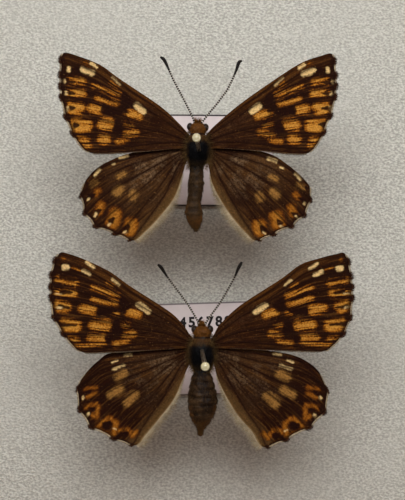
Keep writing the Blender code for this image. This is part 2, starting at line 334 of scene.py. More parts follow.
def smooth_line(points, per_span=SPAN_STEPS):
    """A smooth curve through the points, as a dense line."""
    held = np.array(points, float)
    held = np.vstack([2 * held[0] - held[1], held, 2 * held[-1] - held[-2]])
    t = np.linspace(0, 1, per_span, endpoint=False)[:, None]
    spans = [
        0.5 * (2 * b + (c - a) * t + (2 * a - 5 * b + 4 * c - d) * t**2 + (3 * b - a - 3 * c + d) * t**3)
        for a, b, c, d in zip(held, held[1:], held[2:], held[3:])
    ]
    return np.vstack([*spans, held[-2:-1]])


def along_line(line, fraction):
    """Points of a line at fractions of its length."""
    steps = np.r_[0, np.cumsum(np.linalg.norm(np.diff(line, axis=0), axis=1))]
    at = np.asarray(fraction) * steps[-1]
    return np.stack([np.interp(at, steps, line[:, axis]) for axis in range(line.shape[1])], axis=-1)


def step(value, low, high):
    t = np.clip((value - low) / (high - low), 0, 1)
    return t * t * (3 - 2 * t)


def hair_shape():
    """A hair one unit long, along +Z: a slender three-sided cone."""
    shape = bmesh.new()
    bmesh.ops.create_cone(shape, cap_ends=True, segments=3, radius1=1, radius2=0.05, depth=1)
    bmesh.ops.translate(shape, vec=(0, 0, 0.5), verts=shape.verts)
    bmesh.ops.triangulate(shape, faces=shape.faces)
    return mesh_of(shape, "hair")


HAIR = hair_shape()


def strew(name, shape, frames, finish, shade):
    """One mesh that holds a copy of a small shape in every frame of axes and origin (k, 3, 4)."""
    corners = np.array([vertex.co for vertex in shape.vertices])
    faces = np.array([face.vertices[:] for face in shape.polygons])
    count = len(frames)
    points = np.einsum("kij,nj->kni", frames[:, :, :3], corners) + frames[:, None, :, 3]
    loops = (faces[None] + np.arange(count)[:, None, None] * len(corners)).reshape(-1)
    mesh = bpy.data.meshes.new(name)
    mesh.vertices.add(count * len(corners))
    mesh.vertices.foreach_set("co", points.astype(np.float32).ravel())
    mesh.loops.add(len(loops))
    mesh.loops.foreach_set("vertex_index", loops.astype(np.int32))
    mesh.polygons.add(len(loops) // 3)
    mesh.polygons.foreach_set("loop_start", np.arange(0, len(loops), 3, dtype=np.int32))
    mesh.update(calc_edges=True)
    store(mesh, "shade", np.repeat(shade, len(corners)))
    return add_piece(name, mesh, finish)


def hairs(name, roots, ends, width, finish, shade):
    """Fine tapered hairs from their roots to their ends, all in millimetres in the drawer's frame."""
    reach = ends - roots
    length = np.linalg.norm(reach, axis=1, keepdims=True)
    pointing = reach / length
    aside = np.cross(pointing, chance.normal(size=pointing.shape))
    aside /= np.linalg.norm(aside, axis=1, keepdims=True)
    other = np.cross(pointing, aside)
    half = np.broadcast_to(np.reshape(width, (-1, 1)) / 2, length.shape)
    axes = np.stack([aside * half, other * half, reach, roots], axis=-1) * MM
    return strew(name, HAIR, axes, finish, shade)


# %% [markdown]
# ## Foam lining
# The lining is a fine-celled, pale grey foam. A plain block would look like card,
# so its top is a dense sheet with a fine uneven relief, densest in the middle where
# it is seen closest, and with a dimple where each pin goes in. Its sides are pulled
# down from the sheet's rim, and the finish adds the cells that are finer still.

# %% Foam lining
FOAM_SHEET = (270, 320)
FOAM_GRAIN = 0.31 * MM
FOAM_RELIEF = 0.04 * MM
FOAM_ROUNDING = 0.5 * MM
DIMPLE_RADIUS = 0.45 * MM
DIMPLE_DEPTH = 0.2 * MM


def foam_finish():
    material, tree, shader = new_finish("foam", 0.85, Specular_IOR_Level=0.25)
    spot = place_in(tree, "Object", scale=(1, 1.5, 1))  # the cells lie a little flattened
    grains = noise_of(tree, 1.0 / FOAM_GRAIN, 2, spot)
    cells = noise_of(tree, 3.2 / FOAM_GRAIN, 2, spot)
    patches = noise_of(tree, 60, 2, spot)
    body = blend(tree, spread(tree, grains, 0.3, 0.7), tint(166, 167, 161), tint(226, 227, 220))
    body = blend(tree, spread(tree, cells, 0.35, 0.65, 0, 0.3), body, tint(164, 164, 157))
    body = blend(tree, spread(tree, patches, 0.3, 0.7, 0, 0.35), body, tint(199, 200, 194))
    colour(tree, shader, body)
    relief(tree, shader, sum_of(tree, grains, sum_of(tree, cells, 0.4, "MULTIPLY")), 0.22 * MM, 1.0)
    return material


def foot_of_pin(name):
    """Where a pin's line meets the top of the lining."""
    low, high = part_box(f"{name}_pin")
    head_low, head_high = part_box(f"{name}_pin_head")
    head = (head_low + head_high) / 2
    middle = (low + high) / 2
    return middle + (head - middle) * ((LINING_TOP - middle.z) / (head.z - middle.z))


def foam_lining():
    low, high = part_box("foam_lining")
    middle, half = (low + high) / 2, (high - low) / 2
    feet = [foot_of_pin(name) for name in SPECIMENS]

    def place(u, v):
        """Even cubic spacing: closer in the middle, wider at the rim."""
        x, y = (half[axis] * (0.6 * (2 * t - 1) + 0.4 * (2 * t - 1) ** 3) for axis, t in ((0, u), (1, v)))
        rise = [noise.fractal(Vector((a, b, 0)) / FOAM_GRAIN, 0.8, 2.1, 3) for a, b in zip(x, y)]
        z = high.z - FOAM_RELIEF + FOAM_RELIEF * np.clip(np.array(rise), -1, 1)
        inset = np.minimum(half.x - abs(x), half.y - abs(y))
        short = np.clip(1 - inset / FOAM_ROUNDING, 0, 1)
        z -= FOAM_ROUNDING * (1 - np.sqrt(1 - short**2))
        for foot in feet:
            away = np.hypot(x - foot.x, y - foot.y)
            z -= DIMPLE_DEPTH * np.exp(-((away / DIMPLE_RADIUS) ** 2))
        return np.column_stack([x + middle.x, y + middle.y, z])

    mesh = bent_sheet("foam", *FOAM_SHEET, place)
    shape = bmesh.new()
    shape.from_mesh(mesh)
    rim = [edge for edge in shape.edges if edge.is_boundary]
    pulled = bmesh.ops.extrude_edge_only(shape, edges=rim)["geom"]
    for vertex in (item for item in pulled if isinstance(item, bmesh.types.BMVert)):
        vertex.co.z = low.z
    bottom = [item for item in pulled if isinstance(item, bmesh.types.BMEdge) and item.is_boundary]
    bmesh.ops.contextual_create(shape, geom=bottom)
    bmesh.ops.recalc_face_normals(shape, faces=shape.faces)
    shape.to_mesh(mesh)
    shape.free()
    mesh.shade_smooth()
    piece = add_piece("foam", mesh, foam_finish())
    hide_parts("foam_lining")
    print("foam faces:", len(mesh.polygons))


foam_lining()

# %% [markdown]
# ## The wings' outlines
# A wing is bounded by a front edge from the root to the tip, an outer edge that the
# veins end on, and a back edge to the root again. Each spread wing sits a little
# differently, so each of the eight has its own outline, with only the points that
# its curves need. The numbers are millimetres in the specimen's own frame.

# %% Outlines
OUTLINES = {
    "upper_forewing_left": {
        "front": [
            (-0.6, 0.9), (-1.3, 1.7), (-2.0, 2.45), (-4.0, 4.3), (-8.3, 7.2), (-10.4, 8.7), (-12.6, 9.6),
            (-14.4, 10.0),
        ],
        "outer": [(-14.7, 8.6), (-14.7, 6.2), (-14.4, 3.9), (-13.6, 1.7), (-12.6, 0.0), (-11.5, -0.7)],
        "back": [(-9.3, -0.75), (-5.0, -0.5), (-1.6, -0.2), (-0.6, -0.4)],
    },
    "upper_forewing_right": {
        "front": [
            (0.6, 0.9), (1.3, 1.7), (2.0, 2.4), (4.6, 4.6), (8.9, 7.6), (11.2, 9.0), (13.2, 9.7),
            (14.4, 9.9),
        ],
        "outer": [(14.7, 8.6), (14.8, 6.4), (14.5, 4.1), (13.8, 2.2), (13.0, 0.4), (11.9, -0.7)],
        "back": [(10.0, -0.8), (6.8, -0.5), (1.7, -0.2), (0.6, -0.4)],
    },
    "upper_hindwing_left": {
        "front": [(-0.5, 0.3), (-4.0, 0.0), (-7.2, -0.65), (-9.3, -1.4), (-11.0, -2.4), (-12.2, -3.8)],
        "outer": [(-12.6, -5.1), (-12.2, -7.1), (-11.0, -8.6), (-8.9, -9.4), (-7.0, -10.1)],
        "back": [(-5.6, -9.1), (-3.9, -7.3), (-2.5, -5.4), (-1.7, -3.2), (-1.2, -1.6), (-0.5, -0.8)],
    },
    "upper_hindwing_right": {
        "front": [(0.5, 0.3), (4.6, 0.0), (7.9, -0.8), (9.8, -2.0), (11.2, -3.2), (12.1, -4.3)],
        "outer": [(12.2, -5.2), (11.8, -6.9), (10.4, -8.4), (8.5, -9.3), (6.3, -10.1)],
        "back": [(5.2, -9.3), (3.8, -7.7), (2.5, -5.8), (1.5, -3.8), (1.1, -1.8), (0.5, -0.8)],
    },
    "lower_forewing_left": {
        "front": [
            (-0.6, 0.9), (-1.3, 1.6), (-1.85, 2.4), (-3.4, 4.0), (-7.7, 6.8), (-9.8, 8.3), (-12.0, 9.4),
            (-14.1, 10.2), (-15.3, 10.3),
        ],
        "outer": [(-16.0, 8.7), (-16.2, 6.8), (-16.1, 4.2), (-15.3, 2.3), (-14.1, 0.6), (-12.8, -0.3)],
        "back": [(-9.7, -0.3), (-5.4, -0.1), (-1.6, 0.1), (-0.6, -0.2)],
    },
    "lower_forewing_right": {
        "front": [
            (0.6, 0.8), (1.25, 1.5), (1.9, 2.6), (4.1, 4.7), (8.4, 7.5), (10.6, 9.1), (12.7, 9.8),
            (14.3, 10.2), (15.4, 10.2),
        ],
        "outer": [(16.0, 7.8), (16.1, 4.7), (15.7, 2.7), (14.8, 1.1), (13.9, 0.2), (13.1, -0.2)],
        "back": [(10.6, -0.2), (7.4, -0.1), (1.7, 0.1), (0.6, -0.2)],
    },
    "lower_hindwing_left": {
        "front": [(-0.5, 0.4), (-5.5, 0.0), (-9.7, -0.4), (-11.3, -1.4), (-12.6, -2.7)],
        "outer": [(-13.3, -3.8), (-13.4, -5.9), (-12.2, -8.2), (-9.7, -9.6), (-7.2, -10.4)],
        "back": [(-6.0, -9.2), (-4.5, -7.4), (-3.0, -5.4), (-2.0, -3.2), (-1.4, -1.8), (-0.5, -0.8)],
    },
    "lower_hindwing_right": {
        "front": [(0.5, 0.4), (5.7, 0.0), (9.5, -0.6), (11.4, -1.4), (12.8, -2.7)],
        "outer": [(13.6, -4.8), (13.3, -6.6), (12.0, -8.2), (9.5, -9.6), (6.7, -10.6)],
        "back": [(5.4, -8.9), (3.9, -7.2), (2.6, -5.1), (1.7, -3.2), (1.3, -1.8), (0.5, -0.8)],
    },
}

# %% [markdown]
# ## How a sheet becomes a wing
# Real veins fan out from the root to the outer edge, so the sheet's u runs from the
# root outwards and its v from the front edge to the back. A Coons patch does that:
# it blends the four edges, so every grid line is a little like its nearest edges.
# The outer edge is drawn in between the veins' ends, which gives the scallops.

# %% Wing map
VEIN_ENDS = {
    "forewing": (0.07, 0.205, 0.31, 0.41, 0.595, 0.76),
    "hindwing": (0.15, 0.355, 0.555, 0.79, 0.985),
}
SCALLOP = {"forewing": 0.08, "hindwing": 0.2}


def wing_map(outline, kind):
    """The function that takes (u, v) to the wing's x and y."""
    line = smooth_line(outline["front"] + outline["outer"] + outline["back"])
    tip = SPAN_STEPS * (len(outline["front"]) - 1)
    corner = tip + SPAN_STEPS * len(outline["outer"])
    front, outer, back = line[: tip + 1], line[tip : corner + 1], line[corner:][::-1]
    ends = np.array(VEIN_ENDS[kind])
    inwards = (front[0] + back[0]) / 2

    def rim(v):
        gaps = np.abs(np.asarray(v)[:, None] - ends).min(axis=1)
        points = along_line(outer, v)
        pull = inwards - points
        pull /= np.linalg.norm(pull, axis=1, keepdims=True)
        edge_free = np.sin(np.pi * np.clip(v, 0, 1)) ** 0.5
        return points + pull * (SCALLOP[kind] * step(gaps, 0.0, 0.09) * edge_free)[:, None]

    def place(u, v):
        u, v = np.broadcast_arrays(np.asarray(u, float), np.asarray(v, float))
        across, out = v[:, None], u[:, None]
        sides = (1 - across) * along_line(front, u) + across * along_line(back, u)
        caps = (1 - out) * (front[0] * (1 - across) + back[0] * across) + out * rim(v)
        corners = (1 - out) * ((1 - across) * front[0] + across * back[0])
        corners = corners + out * ((1 - across) * outer[0] + across * outer[-1])
        return sides + caps - corners

    return place


# %% [markdown]
# ## The wings' pattern
# The pattern is made of strokes: each runs from one end to the other with a width,
# like a dab of a flat brush, and most lie along the veins. Dark brown is the ground,
# then come orange cells, black cores in them, and cream dabs. The strokes are set
# out on the left wings, and the right wings take them through the three places that
# both wings share: root, tip and back corner.

# %% Strokes
STROKES = {
    "upper_forewing": {
        "cream": [
            (-10.8, 8.4, -11.5, 8.9, 0.37), (-11.2, 7.8, -12.5, 8.3, 0.65), (-13.8, 8.5, -13.9, 8.0, 0.43),
            (-8.3, 6.6, -9.2, 7.4, 0.26), (-5.7, 3.7, -6.7, 4.5, 0.7), (-14.3, 7.2, -14.3, 6.8, 0.34),
            (-14.2, 5.9, -14.1, 5.5, 0.34), (-14.0, 4.3, -14.0, 3.8, 0.32),
        ],
        "orange": [
            (-8.3, 5.6, -11.2, 6.5, 0.59), (-8.6, 4.6, -10.9, 5.3, 0.75), (-10.4, 3.9, -11.6, 4.1, 1.18),
            (-9.2, 2.3, -10.5, 2.4, 1.45), (-9.6, 0.7, -10.5, 0.8, 1.18), (-12.2, 7.0, -13.9, 7.0, 0.91),
            (-12.1, 5.7, -13.9, 5.7, 0.91), (-12.4, 4.1, -13.8, 4.1, 1.4), (-11.6, 2.2, -13.6, 2.3, 1.5),
            (-11.7, 0.6, -12.9, 0.8, 0.75), (-11.5, 0.0, -12.2, 0.0, 0.54), (-6.1, 3.2, -7.6, 3.6, 0.86),
            (-6.9, 2.2, -7.8, 2.5, 0.59), (-6.4, 1.5, -7.9, 1.2, 0.75), (-7.5, 0.7, -8.7, 0.5, 0.54),
            (-8.6, 6.3, -9.4, 6.9, 0.32), (-11.7, 8.6, -12.2, 9.0, 0.28),
        ],
        "black": [
            (-13.2, 6.9, -14.0, 6.9, 0.34), (-13.2, 5.7, -13.8, 5.7, 0.34), (-13.2, 4.1, -13.7, 4.1, 0.37),
            (-12.8, 2.3, -13.3, 2.3, 0.48), (-12.5, 8.2, -13.2, 8.3, 0.39), (-7.8, 5.6, -7.5, 4.3, 0.97),
            (-8.3, 3.6, -10.2, 4.0, 0.75), (-8.6, 2.7, -8.6, 1.7, 0.86), (-9.5, 5.9, -11.1, 6.1, 0.13),
        ],
    },
    "upper_hindwing": {
        "cream": [
            (-7.5, -0.9, -8.5, -1.2, 0.43), (-10.5, -2.4, -11.2, -3.1, 0.37),
            (-11.7, -5.6, -11.9, -5.8, 0.28),
            (-10.9, -7.1, -11.2, -7.5, 0.3), (-9.4, -8.3, -9.7, -8.5, 0.28), (-7.7, -9.1, -8.0, -9.3, 0.24),
            (-8.9, -1.8, -9.2, -1.9, 0.21),
        ],
        "faint": [
            (-7.9, -2.9, -8.6, -3.2, 0.39), (-8.3, -4.4, -8.9, -5.0, 0.7), (-6.8, -4.9, -7.1, -5.6, 0.59),
            (-10.9, -3.7, -11.5, -4.1, 0.34),
        ],
        "orange": [
            (-10.6, -4.6, -11.1, -5.2, 0.59), (-10.3, -6.0, -10.8, -7.1, 0.91), (-8.8, -6.9, -9.3, -8.4, 1.5),
            (-7.1, -8.0, -7.4, -9.3, 1.5),
        ],
        "black": [
            (-11.1, -5.1, -11.8, -5.4, 0.45), (-10.5, -6.8, -11.0, -7.1, 0.49),
            (-9.1, -7.7, -9.4, -8.1, 0.54),
            (-7.4, -8.5, -7.8, -9.0, 0.59), (-11.7, -3.9, -12.0, -4.0, 0.32),
        ],
    },
    "lower_forewing": {
        "cream": [
            (-11.5, 8.7, -12.4, 9.4, 0.37), (-8.8, 6.9, -9.6, 7.6, 0.34), (-12.0, 8.0, -12.8, 8.5, 0.49),
            (-14.3, 8.8, -14.9, 8.8, 0.65), (-5.6, 4.0, -6.9, 4.9, 0.67), (-15.0, 6.0, -15.7, 6.0, 0.17),
            (-15.0, 4.4, -15.6, 4.5, 0.24),
        ],
        "orange": [
            (-8.9, 5.8, -11.8, 6.7, 0.65), (-9.1, 4.9, -11.8, 5.5, 0.73), (-11.5, 4.2, -13.0, 4.4, 1.18),
            (-9.9, 2.6, -11.8, 2.6, 1.34), (-10.4, 1.2, -12.2, 1.3, 0.86), (-10.4, 0.5, -12.0, 0.5, 0.47),
            (-13.4, 7.1, -15.7, 7.5, 1.02), (-13.6, 5.9, -15.8, 6.1, 0.97), (-14.3, 4.5, -15.7, 4.7, 1.29),
            (-13.2, 2.5, -15.1, 2.7, 1.4), (-13.3, 1.0, -14.4, 1.1, 0.7), (-12.2, 0.4, -13.7, 0.3, 0.45),
            (-6.6, 3.7, -8.0, 4.0, 0.86), (-8.9, 3.9, -9.5, 3.9, 0.43), (-7.8, 2.6, -8.5, 2.7, 0.7),
            (-7.1, 1.7, -8.4, 1.4, 0.75), (-7.9, 0.9, -9.5, 0.5, 0.65), (-9.5, 6.8, -10.2, 7.2, 0.39),
            (-13.1, 8.5, -13.9, 8.9, 0.28), (-14.7, 9.7, -14.9, 9.7, 0.21),
        ],
        "black": [
            (-13.1, 7.4, -15.2, 7.7, 0.3), (-13.7, 6.8, -15.7, 6.9, 0.24), (-14.0, 6.1, -15.1, 6.2, 0.38),
            (-14.2, 4.5, -15.4, 4.6, 0.34), (-13.5, 2.6, -15.2, 2.7, 0.36),
            (-13.3, 0.8, -14.3, 0.8, 0.22), (-8.5, 5.4, -8.0, 4.5, 0.86), (-9.3, 4.2, -11.1, 4.1, 0.65),
            (-9.1, 3.0, -9.1, 2.0, 0.86), (-9.6, 1.4, -10.2, 1.0, 0.54),
        ],
    },
    "lower_hindwing": {
        "cream": [
            (-7.5, -0.6, -8.4, -0.7, 0.28), (-9.0, -1.2, -9.7, -1.5, 0.21), (-8.3, -1.7, -9.6, -2.2, 0.32),
            (-12.7, -5.1, -12.9, -5.4, 0.3), (-12.2, -6.9, -12.5, -7.4, 0.3), (-9.2, -8.7, -9.6, -8.6, 0.13),
        ],
        "faint": [
            (-8.2, -2.6, -9.2, -3.2, 0.69), (-8.7, -4.3, -10.0, -5.0, 0.65),
            (-7.1, -4.8, -8.2, -5.9, 0.7),
        ],
        "orange": [
            (-11.3, -4.1, -12.6, -4.4, 0.42), (-11.3, -4.8, -12.4, -5.2, 0.42),
            (-11.2, -5.9, -12.6, -6.2, 0.45),
            (-11.2, -6.0, -11.3, -7.4, 0.48), (-12.6, -6.2, -11.4, -7.5, 0.4), (-9.9, -7.4, -9.2, -8.0, 0.52),
            (-9.2, -8.0, -9.6, -9.4, 0.55), (-9.6, -9.4, -11.4, -8.5, 0.5), (-10.0, -7.4, -11.6, -8.5, 0.52),
            (-8.1, -8.5, -9.0, -8.9, 0.45), (-8.1, -8.5, -7.6, -9.2, 0.42), (-6.9, -8.9, -7.6, -9.5, 0.55),
        ],
        "black": [
            (-12.0, -4.5, -12.5, -4.8, 0.39), (-11.8, -6.4, -12.3, -6.8, 0.54),
            (-9.9, -7.9, -10.5, -8.3, 0.6),
            (-8.1, -9.0, -8.6, -9.3, 0.43),
        ],
    },
}
STROKE_EDGES = {  # how far inside and outside its outline a stroke of each kind fades
    "orange": (-0.55, 0.36), "faint": (-0.45, 0.55), "black": (-0.25, 0.25), "cream": (-0.25, 0.22),
}
TAPER = {"orange": 0.0, "faint": 0.0, "black": 0.4, "cream": 0.0}  # how much wider it is at its outer end
STROKE_OVERRUN = 0.25  # a stroke's ends reach past its two points by this much of its width
STROKE_ROUNDING = 0.95  # how round its corners are, as a part of its smaller half size
WOBBLES = ((1.1, 0.1), (3.5, 0.07))  # how quickly each wobble varies, and its reach in millimetres


def unruled(points, seed):
    """The points, each shifted by smooth noise, so that no stroke looks ruled."""
    spots = [Vector((x, y, seed)) for x, y in points]
    shift = [
        sum((noise.noise_vector(spot * quick) * reach for quick, reach in WOBBLES), Vector())
        for spot in spots
    ]
    return points + np.array(shift)[:, :2]


def stroke_mask(points, strokes, kind):
    """How strongly the strokes cover each point, from 0 to 1, with soft rounded edges."""
    cover = np.zeros(len(points))
    for x0, y0, x1, y1, width in strokes:
        ends = np.array([(x0, y0), (x1, y1)])
        reach = ends[1] - ends[0]
        length = np.linalg.norm(reach)
        pointing = reach / length
        away = points - ends.mean(axis=0)
        along = away @ pointing
        across = away @ np.array([-pointing[1], pointing[0]])
        across = across / (1 + TAPER[kind] * np.clip(2 * along / length, -1, 1))
        box = np.abs(np.stack([along, across], axis=1))
        half = np.array([length / 2 + STROKE_OVERRUN * width, width / 2])
        rounding = STROKE_ROUNDING * half.min()
        outside = box - half + rounding
        beyond = np.linalg.norm(np.maximum(outside, 0), axis=1)
        within = np.minimum(outside.max(axis=1), 0)
        distance = beyond + within - rounding
        cover = np.maximum(cover, 1 - step(distance, *STROKE_EDGES[kind]))
    return cover


def shared_places(outline):
    root = (np.array(outline["front"][0]) + np.array(outline["back"][-1])) / 2
    return np.array([root, outline["front"][-1], outline["outer"][-1]])


def to_left_wing(points, outline, left_outline):
    """Points of a wing, taken to the places on the left wing that hold the same pattern."""
    here, there = shared_places(outline), shared_places(left_outline)
    turned = np.linalg.solve((here[1:] - here[0]), (there[1:] - there[0]))
    return (points - here[0]) @ turned + there[0]


# %% [markdown]
# ## Veins
# Veins are hollow ribs that stiffen the membrane. They are set out on the sheet in u
# and v, the same on every wing of a kind, because all butterflies of one species
# share them. Each stands up a little from the wing and darkens the scales on it.

# %% Veins
VEINS = {
    "forewing": [
        [(0, 0.10), (0.4, 0.07), (0.72, 0.02)], [(0, 0.28), (0.35, 0.2), (0.6, 0.12), (1, 0.07)],
        [(0.4, 0.19), (0.6, 0.18), (1, 0.205)], [(0.5, 0.27), (0.7, 0.31), (1, 0.31)],
        [(0.52, 0.38), (0.7, 0.41), (1, 0.41)], [(0, 0.5), (0.3, 0.54), (0.52, 0.56), (1, 0.595)],
        [(0.3, 0.54), (0.5, 0.70), (0.75, 0.75), (1, 0.76)], [(0, 0.68), (0.4, 0.84), (0.7, 0.9), (1, 0.93)],
        [(0.46, 0.2), (0.53, 0.32), (0.53, 0.43), (0.49, 0.56)],
    ],
    "hindwing": [
        [(0, 0.12), (0.5, 0.07), (0.9, 0.02)], [(0, 0.25), (0.4, 0.19), (1, 0.15)],
        [(0, 0.36), (0.42, 0.35), (1, 0.355)], [(0.1, 0.42), (0.45, 0.52), (0.8, 0.555), (1, 0.555)],
        [(0, 0.5), (0.4, 0.68), (0.8, 0.78), (1, 0.79)], [(0, 0.62), (0.4, 0.82), (1, 0.96)],
    ],
}
VEIN_HALF_WIDTH = 0.065
VEIN_SHADE_HALF_WIDTH = 0.26


def vein_masks(points, place, kind):
    """1 on a vein, falling to 0 beside it: once for the vein, once for the darker scales along it."""
    nearest = np.full(len(points), 9.0)
    for vein in VEINS[kind]:
        route = along_line(smooth_line(vein, 8), np.linspace(0, 1, 24))
        spots = place(route[:, 0], route[:, 1])
        for a, b in zip(spots, spots[1:]):
            span = b - a
            t = np.clip((points - a) @ span / (span @ span), 0, 1)
            nearest = np.minimum(nearest, np.linalg.norm(points - a - t[:, None] * span, axis=1))
    return [np.exp(-((nearest / half) ** 2)) for half in (VEIN_HALF_WIDTH, VEIN_SHADE_HALF_WIDTH)]


# %% [markdown]
# ## The wings' scales
# A butterfly's colour is a dust of tiny overlapping scales, which is matt, slightly
# uneven in colour, and streaked along the veins. The finish reads the masks stored
# on the wing, and roughens their edges with fine noise, because a row of scales
# never ends in a clean line. The noise is stretched along the sheet's u.

# %% Scale finish
STREAKED = {"forewing": 1.0, "hindwing": 0.4}  # how far the streaks feather the marks
GROUND = {
    "forewing": (tint(56, 29, 12), tint(38, 17, 7)),
    "hindwing": (tint(76, 50, 28), tint(50, 28, 15)),
}
ORANGE = {
    "forewing": (tint(166, 102, 28), tint(198, 140, 58)),
    "hindwing": (tint(140, 83, 23), tint(178, 116, 40)),
}


def scale_finish(kind):
    material, tree, shader = new_finish(f"{kind}_scales", 0.8, Specular_IOR_Level=0.03)
    spot = place_in(tree, "Object")
    streaks = noise_of(tree, 1, 3, place_in(tree, "UV", scale=(5, 48, 1)))
    broad = noise_of(tree, 1, 2, place_in(tree, "UV", scale=(2.5, 22, 1)))
    patches = noise_of(tree, 620, 3, spot)
    dust = noise_of(tree, 5600, 2, spot, 0.7)
    clouds = noise_of(tree, 260, 3, spot)

    def uneven(name, strength=STREAKED[kind]):
        """A mask whose soft edge is feathered along the veins and by single scales."""
        mask = attribute(tree, name)
        feathers = spread(tree, streaks, 0.38, 0.62, -0.55, 0.35)
        wander = sum_of(tree, feathers, spread(tree, dust, 0.3, 0.7, -0.2, 0.2))
        near_mark = sum_of(tree, mask, 1.6, "MULTIPLY", clamp=True)  # so that there are no specks elsewhere
        wander = sum_of(tree, sum_of(tree, wander, near_mark, "MULTIPLY"), strength, "MULTIPLY")
        return sum_of(tree, mask, wander)

    body = blend(tree, spread(tree, clouds, 0.35, 0.65), *GROUND[kind])
    body = blend(tree, attribute(tree, "warm"), body, tint(82, 47, 15))
    pale_scales = sum_of(tree, spread(tree, patches, 0.42, 0.58), spread(tree, dust, 0.35, 0.6), "MULTIPLY")
    greyed = sum_of(tree, attribute(tree, "grey"), pale_scales, "MULTIPLY")
    body = blend(tree, greyed, body, tint(126, 102, 76))
    body = blend(tree, attribute(tree, "dark"), body, tint(36, 15, 7))
    body = blend(tree, spread(tree, streaks, 0.5, 0.64, 0, 0.5), body, tint(104, 66, 28))
    body = blend(tree, spread(tree, broad, 0.38, 0.53, 0.55, 0), body, tint(28, 12, 6))
    body = blend(tree, attribute(tree, "fold"), body, tint(92, 66, 36))
    body = blend(tree, attribute(tree, "hem"), body, tint(176, 148, 104))
    orange = uneven("orange")
    body = blend(tree, spread(tree, orange, 0.03, 0.55, 0, 0.9), body, tint(108, 56, 14))
    body = blend(tree, spread(tree, orange, 0.2, 0.8), body, ORANGE[kind][0])
    body = blend(tree, spread(tree, orange, 0.6, 1.15, 0, 0.85), body, ORANGE[kind][1])
    body = blend(tree, spread(tree, uneven("faint"), 0.05, 0.9, 0, 0.75), body, tint(166, 118, 58))
    body = blend(tree, spread(tree, uneven("black", 0.3), 0.12, 0.7, 0, 0.95), body, tint(32, 13, 8))
    body = blend(tree, spread(tree, uneven("cream", 0.35), 0.15, 0.85), body, tint(222, 186, 126))
    body = blend(tree, spread(tree, attribute(tree, "beside"), 0.1, 1.0, 0, 0.5), body, tint(36, 16, 8))
    body = blend(tree, spread(tree, attribute(tree, "vein"), 0.15, 0.9, 0, 0.6), body, tint(30, 13, 7))
    body = blend(tree, attribute(tree, "rim"), body, tint(34, 16, 9))
    body = blend(tree, spread(tree, dust, 0.66, 0.74, 0, 0.3), body, tint(160, 118, 68))
    grain = blend(tree, spread(tree, dust, 0.3, 0.7), (0.55, 0.55, 0.55, 1), (1.0, 1.0, 1.0, 1))
    colour(tree, shader, blend(tree, 1.0, body, grain, "MULTIPLY"))
    gloss(tree, shader, dust, 0.7, 0.9)
    relief(tree, shader, sum_of(tree, dust, streaks), 0.03 * MM, 0.7)
    return material


SCALE_FINISH = {kind: scale_finish(kind) for kind in ("forewing", "hindwing")}

# %% [markdown]
# ## Making the wings
# Each wing is a sheet of about thirty thousand faces with a thin thickness. It rises
# a little towards the tip, is pleated between the veins, and the veins stand up from
# it. The forewing lies over the hindwing, as the frame has them.

# %% Wings
WING_SHEET = (220, 150)
WING_THICKNESS = 0.07 * MM
VEIN_RISE = 0.05
PLEAT = 0.05
WING_DIHEDRAL = 0.012  # rise for each millimetre away from the body
DARKER = {"upper": 0.0, "lower": 0.45}  # the lower specimen's hindwings are the darker pair


def wing_rise(x):
    return WING_DIHEDRAL * np.abs(x)


def wing(name, kind, side):
    full_name = f"{name}_{kind}_{side}"
    outline = OUTLINES[full_name]
    left = f"{name}_{kind}_left"
    place = wing_map(outline, kind)
    low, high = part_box(full_name)
    level = ((low.z + high.z) / 2 - WING_LEVEL) / MM
    start = ORIGINS[name]
    strokes = STROKES[f"{name}_{kind}"]
    ends = np.array(VEIN_ENDS[kind])

    def in_drawer(u, v):
        spot = place(u, v)
        vein, _ = vein_masks(spot, place, kind)
        gaps = np.abs(v[:, None] - ends).min(axis=1)
        rise = level + wing_rise(spot[:, 0]) + VEIN_RISE * vein - PLEAT * step(gaps, 0, 0.08) * u
        return np.column_stack([spot * MM + (start.x, start.y), rise * MM + start.z])

    def marks(u, v):
        spot = place(u, v)
        on_left = unruled(to_left_wing(spot, outline, OUTLINES[left]), 10 * start.x / MM + 3 * SIDES[side])
        made = {mark: stroke_mask(on_left, strokes.get(mark, []), mark) for mark in STROKE_EDGES}
        made["vein"], made["beside"] = vein_masks(spot, place, kind)
        made["rim"] = 0.85 * step(u, 0.96, 0.985)
        if kind == "forewing":
            front_edge = 1 - step(v, 0, 0.1)
            outer_half = step(u, 0.42, 0.6) * step(v, 0.06, 0.16)
            made["warm"] = 0.85 * (1 - step(v, 0.04, 0.24)) * (1 - step(u, 0.45, 1.0)) + 0.2 * front_edge
            made["grey"] = 0.1 * (1 - step(u, 0.05, 0.75))
            made["dark"] = 0.85 * np.clip(outer_half + 0.7 * step(v, 0.2, 0.6), 0, 1)
            made["fold"] = made["hem"] = np.zeros(len(u))
        else:
            made["warm"] = 0.3 * step(u, 0.6, 1.0)
            made["grey"] = 0.6 * (1 - step(u, 0.35, 0.85)) * step(v, 0.08, 0.25) * (1 - step(v, 0.6, 0.9))
            outer_half = step(u, 0.55, 0.85) * (1 - step(v, 0.8, 0.95))
            made["dark"] = 0.8 * outer_half + DARKER[name] * step(u, 0.2, 0.5)
            made["fold"] = 0.8 * step(v, 0.84, 0.95) * step(u, 0.1, 0.4)
            made["hem"] = 0.6 * step(v, 0.98, 0.998) * step(u, 0.1, 0.3)
        return made

    mesh = bent_sheet(full_name + "_scales", *WING_SHEET, in_drawer, marks)
    piece = add_piece(full_name + "_scales", mesh, SCALE_FINISH[kind])
    solid_sheet(piece, WING_THICKNESS, 0)
    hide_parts(full_name)
    return place, level


WING_PLACES = {
    f"{name}_{kind}_{side}": wing(name, kind, side)
    for name in SPECIMENS for kind in ("forewing", "hindwing") for side in SIDES
}
print("wings:", len(WING_PLACES))

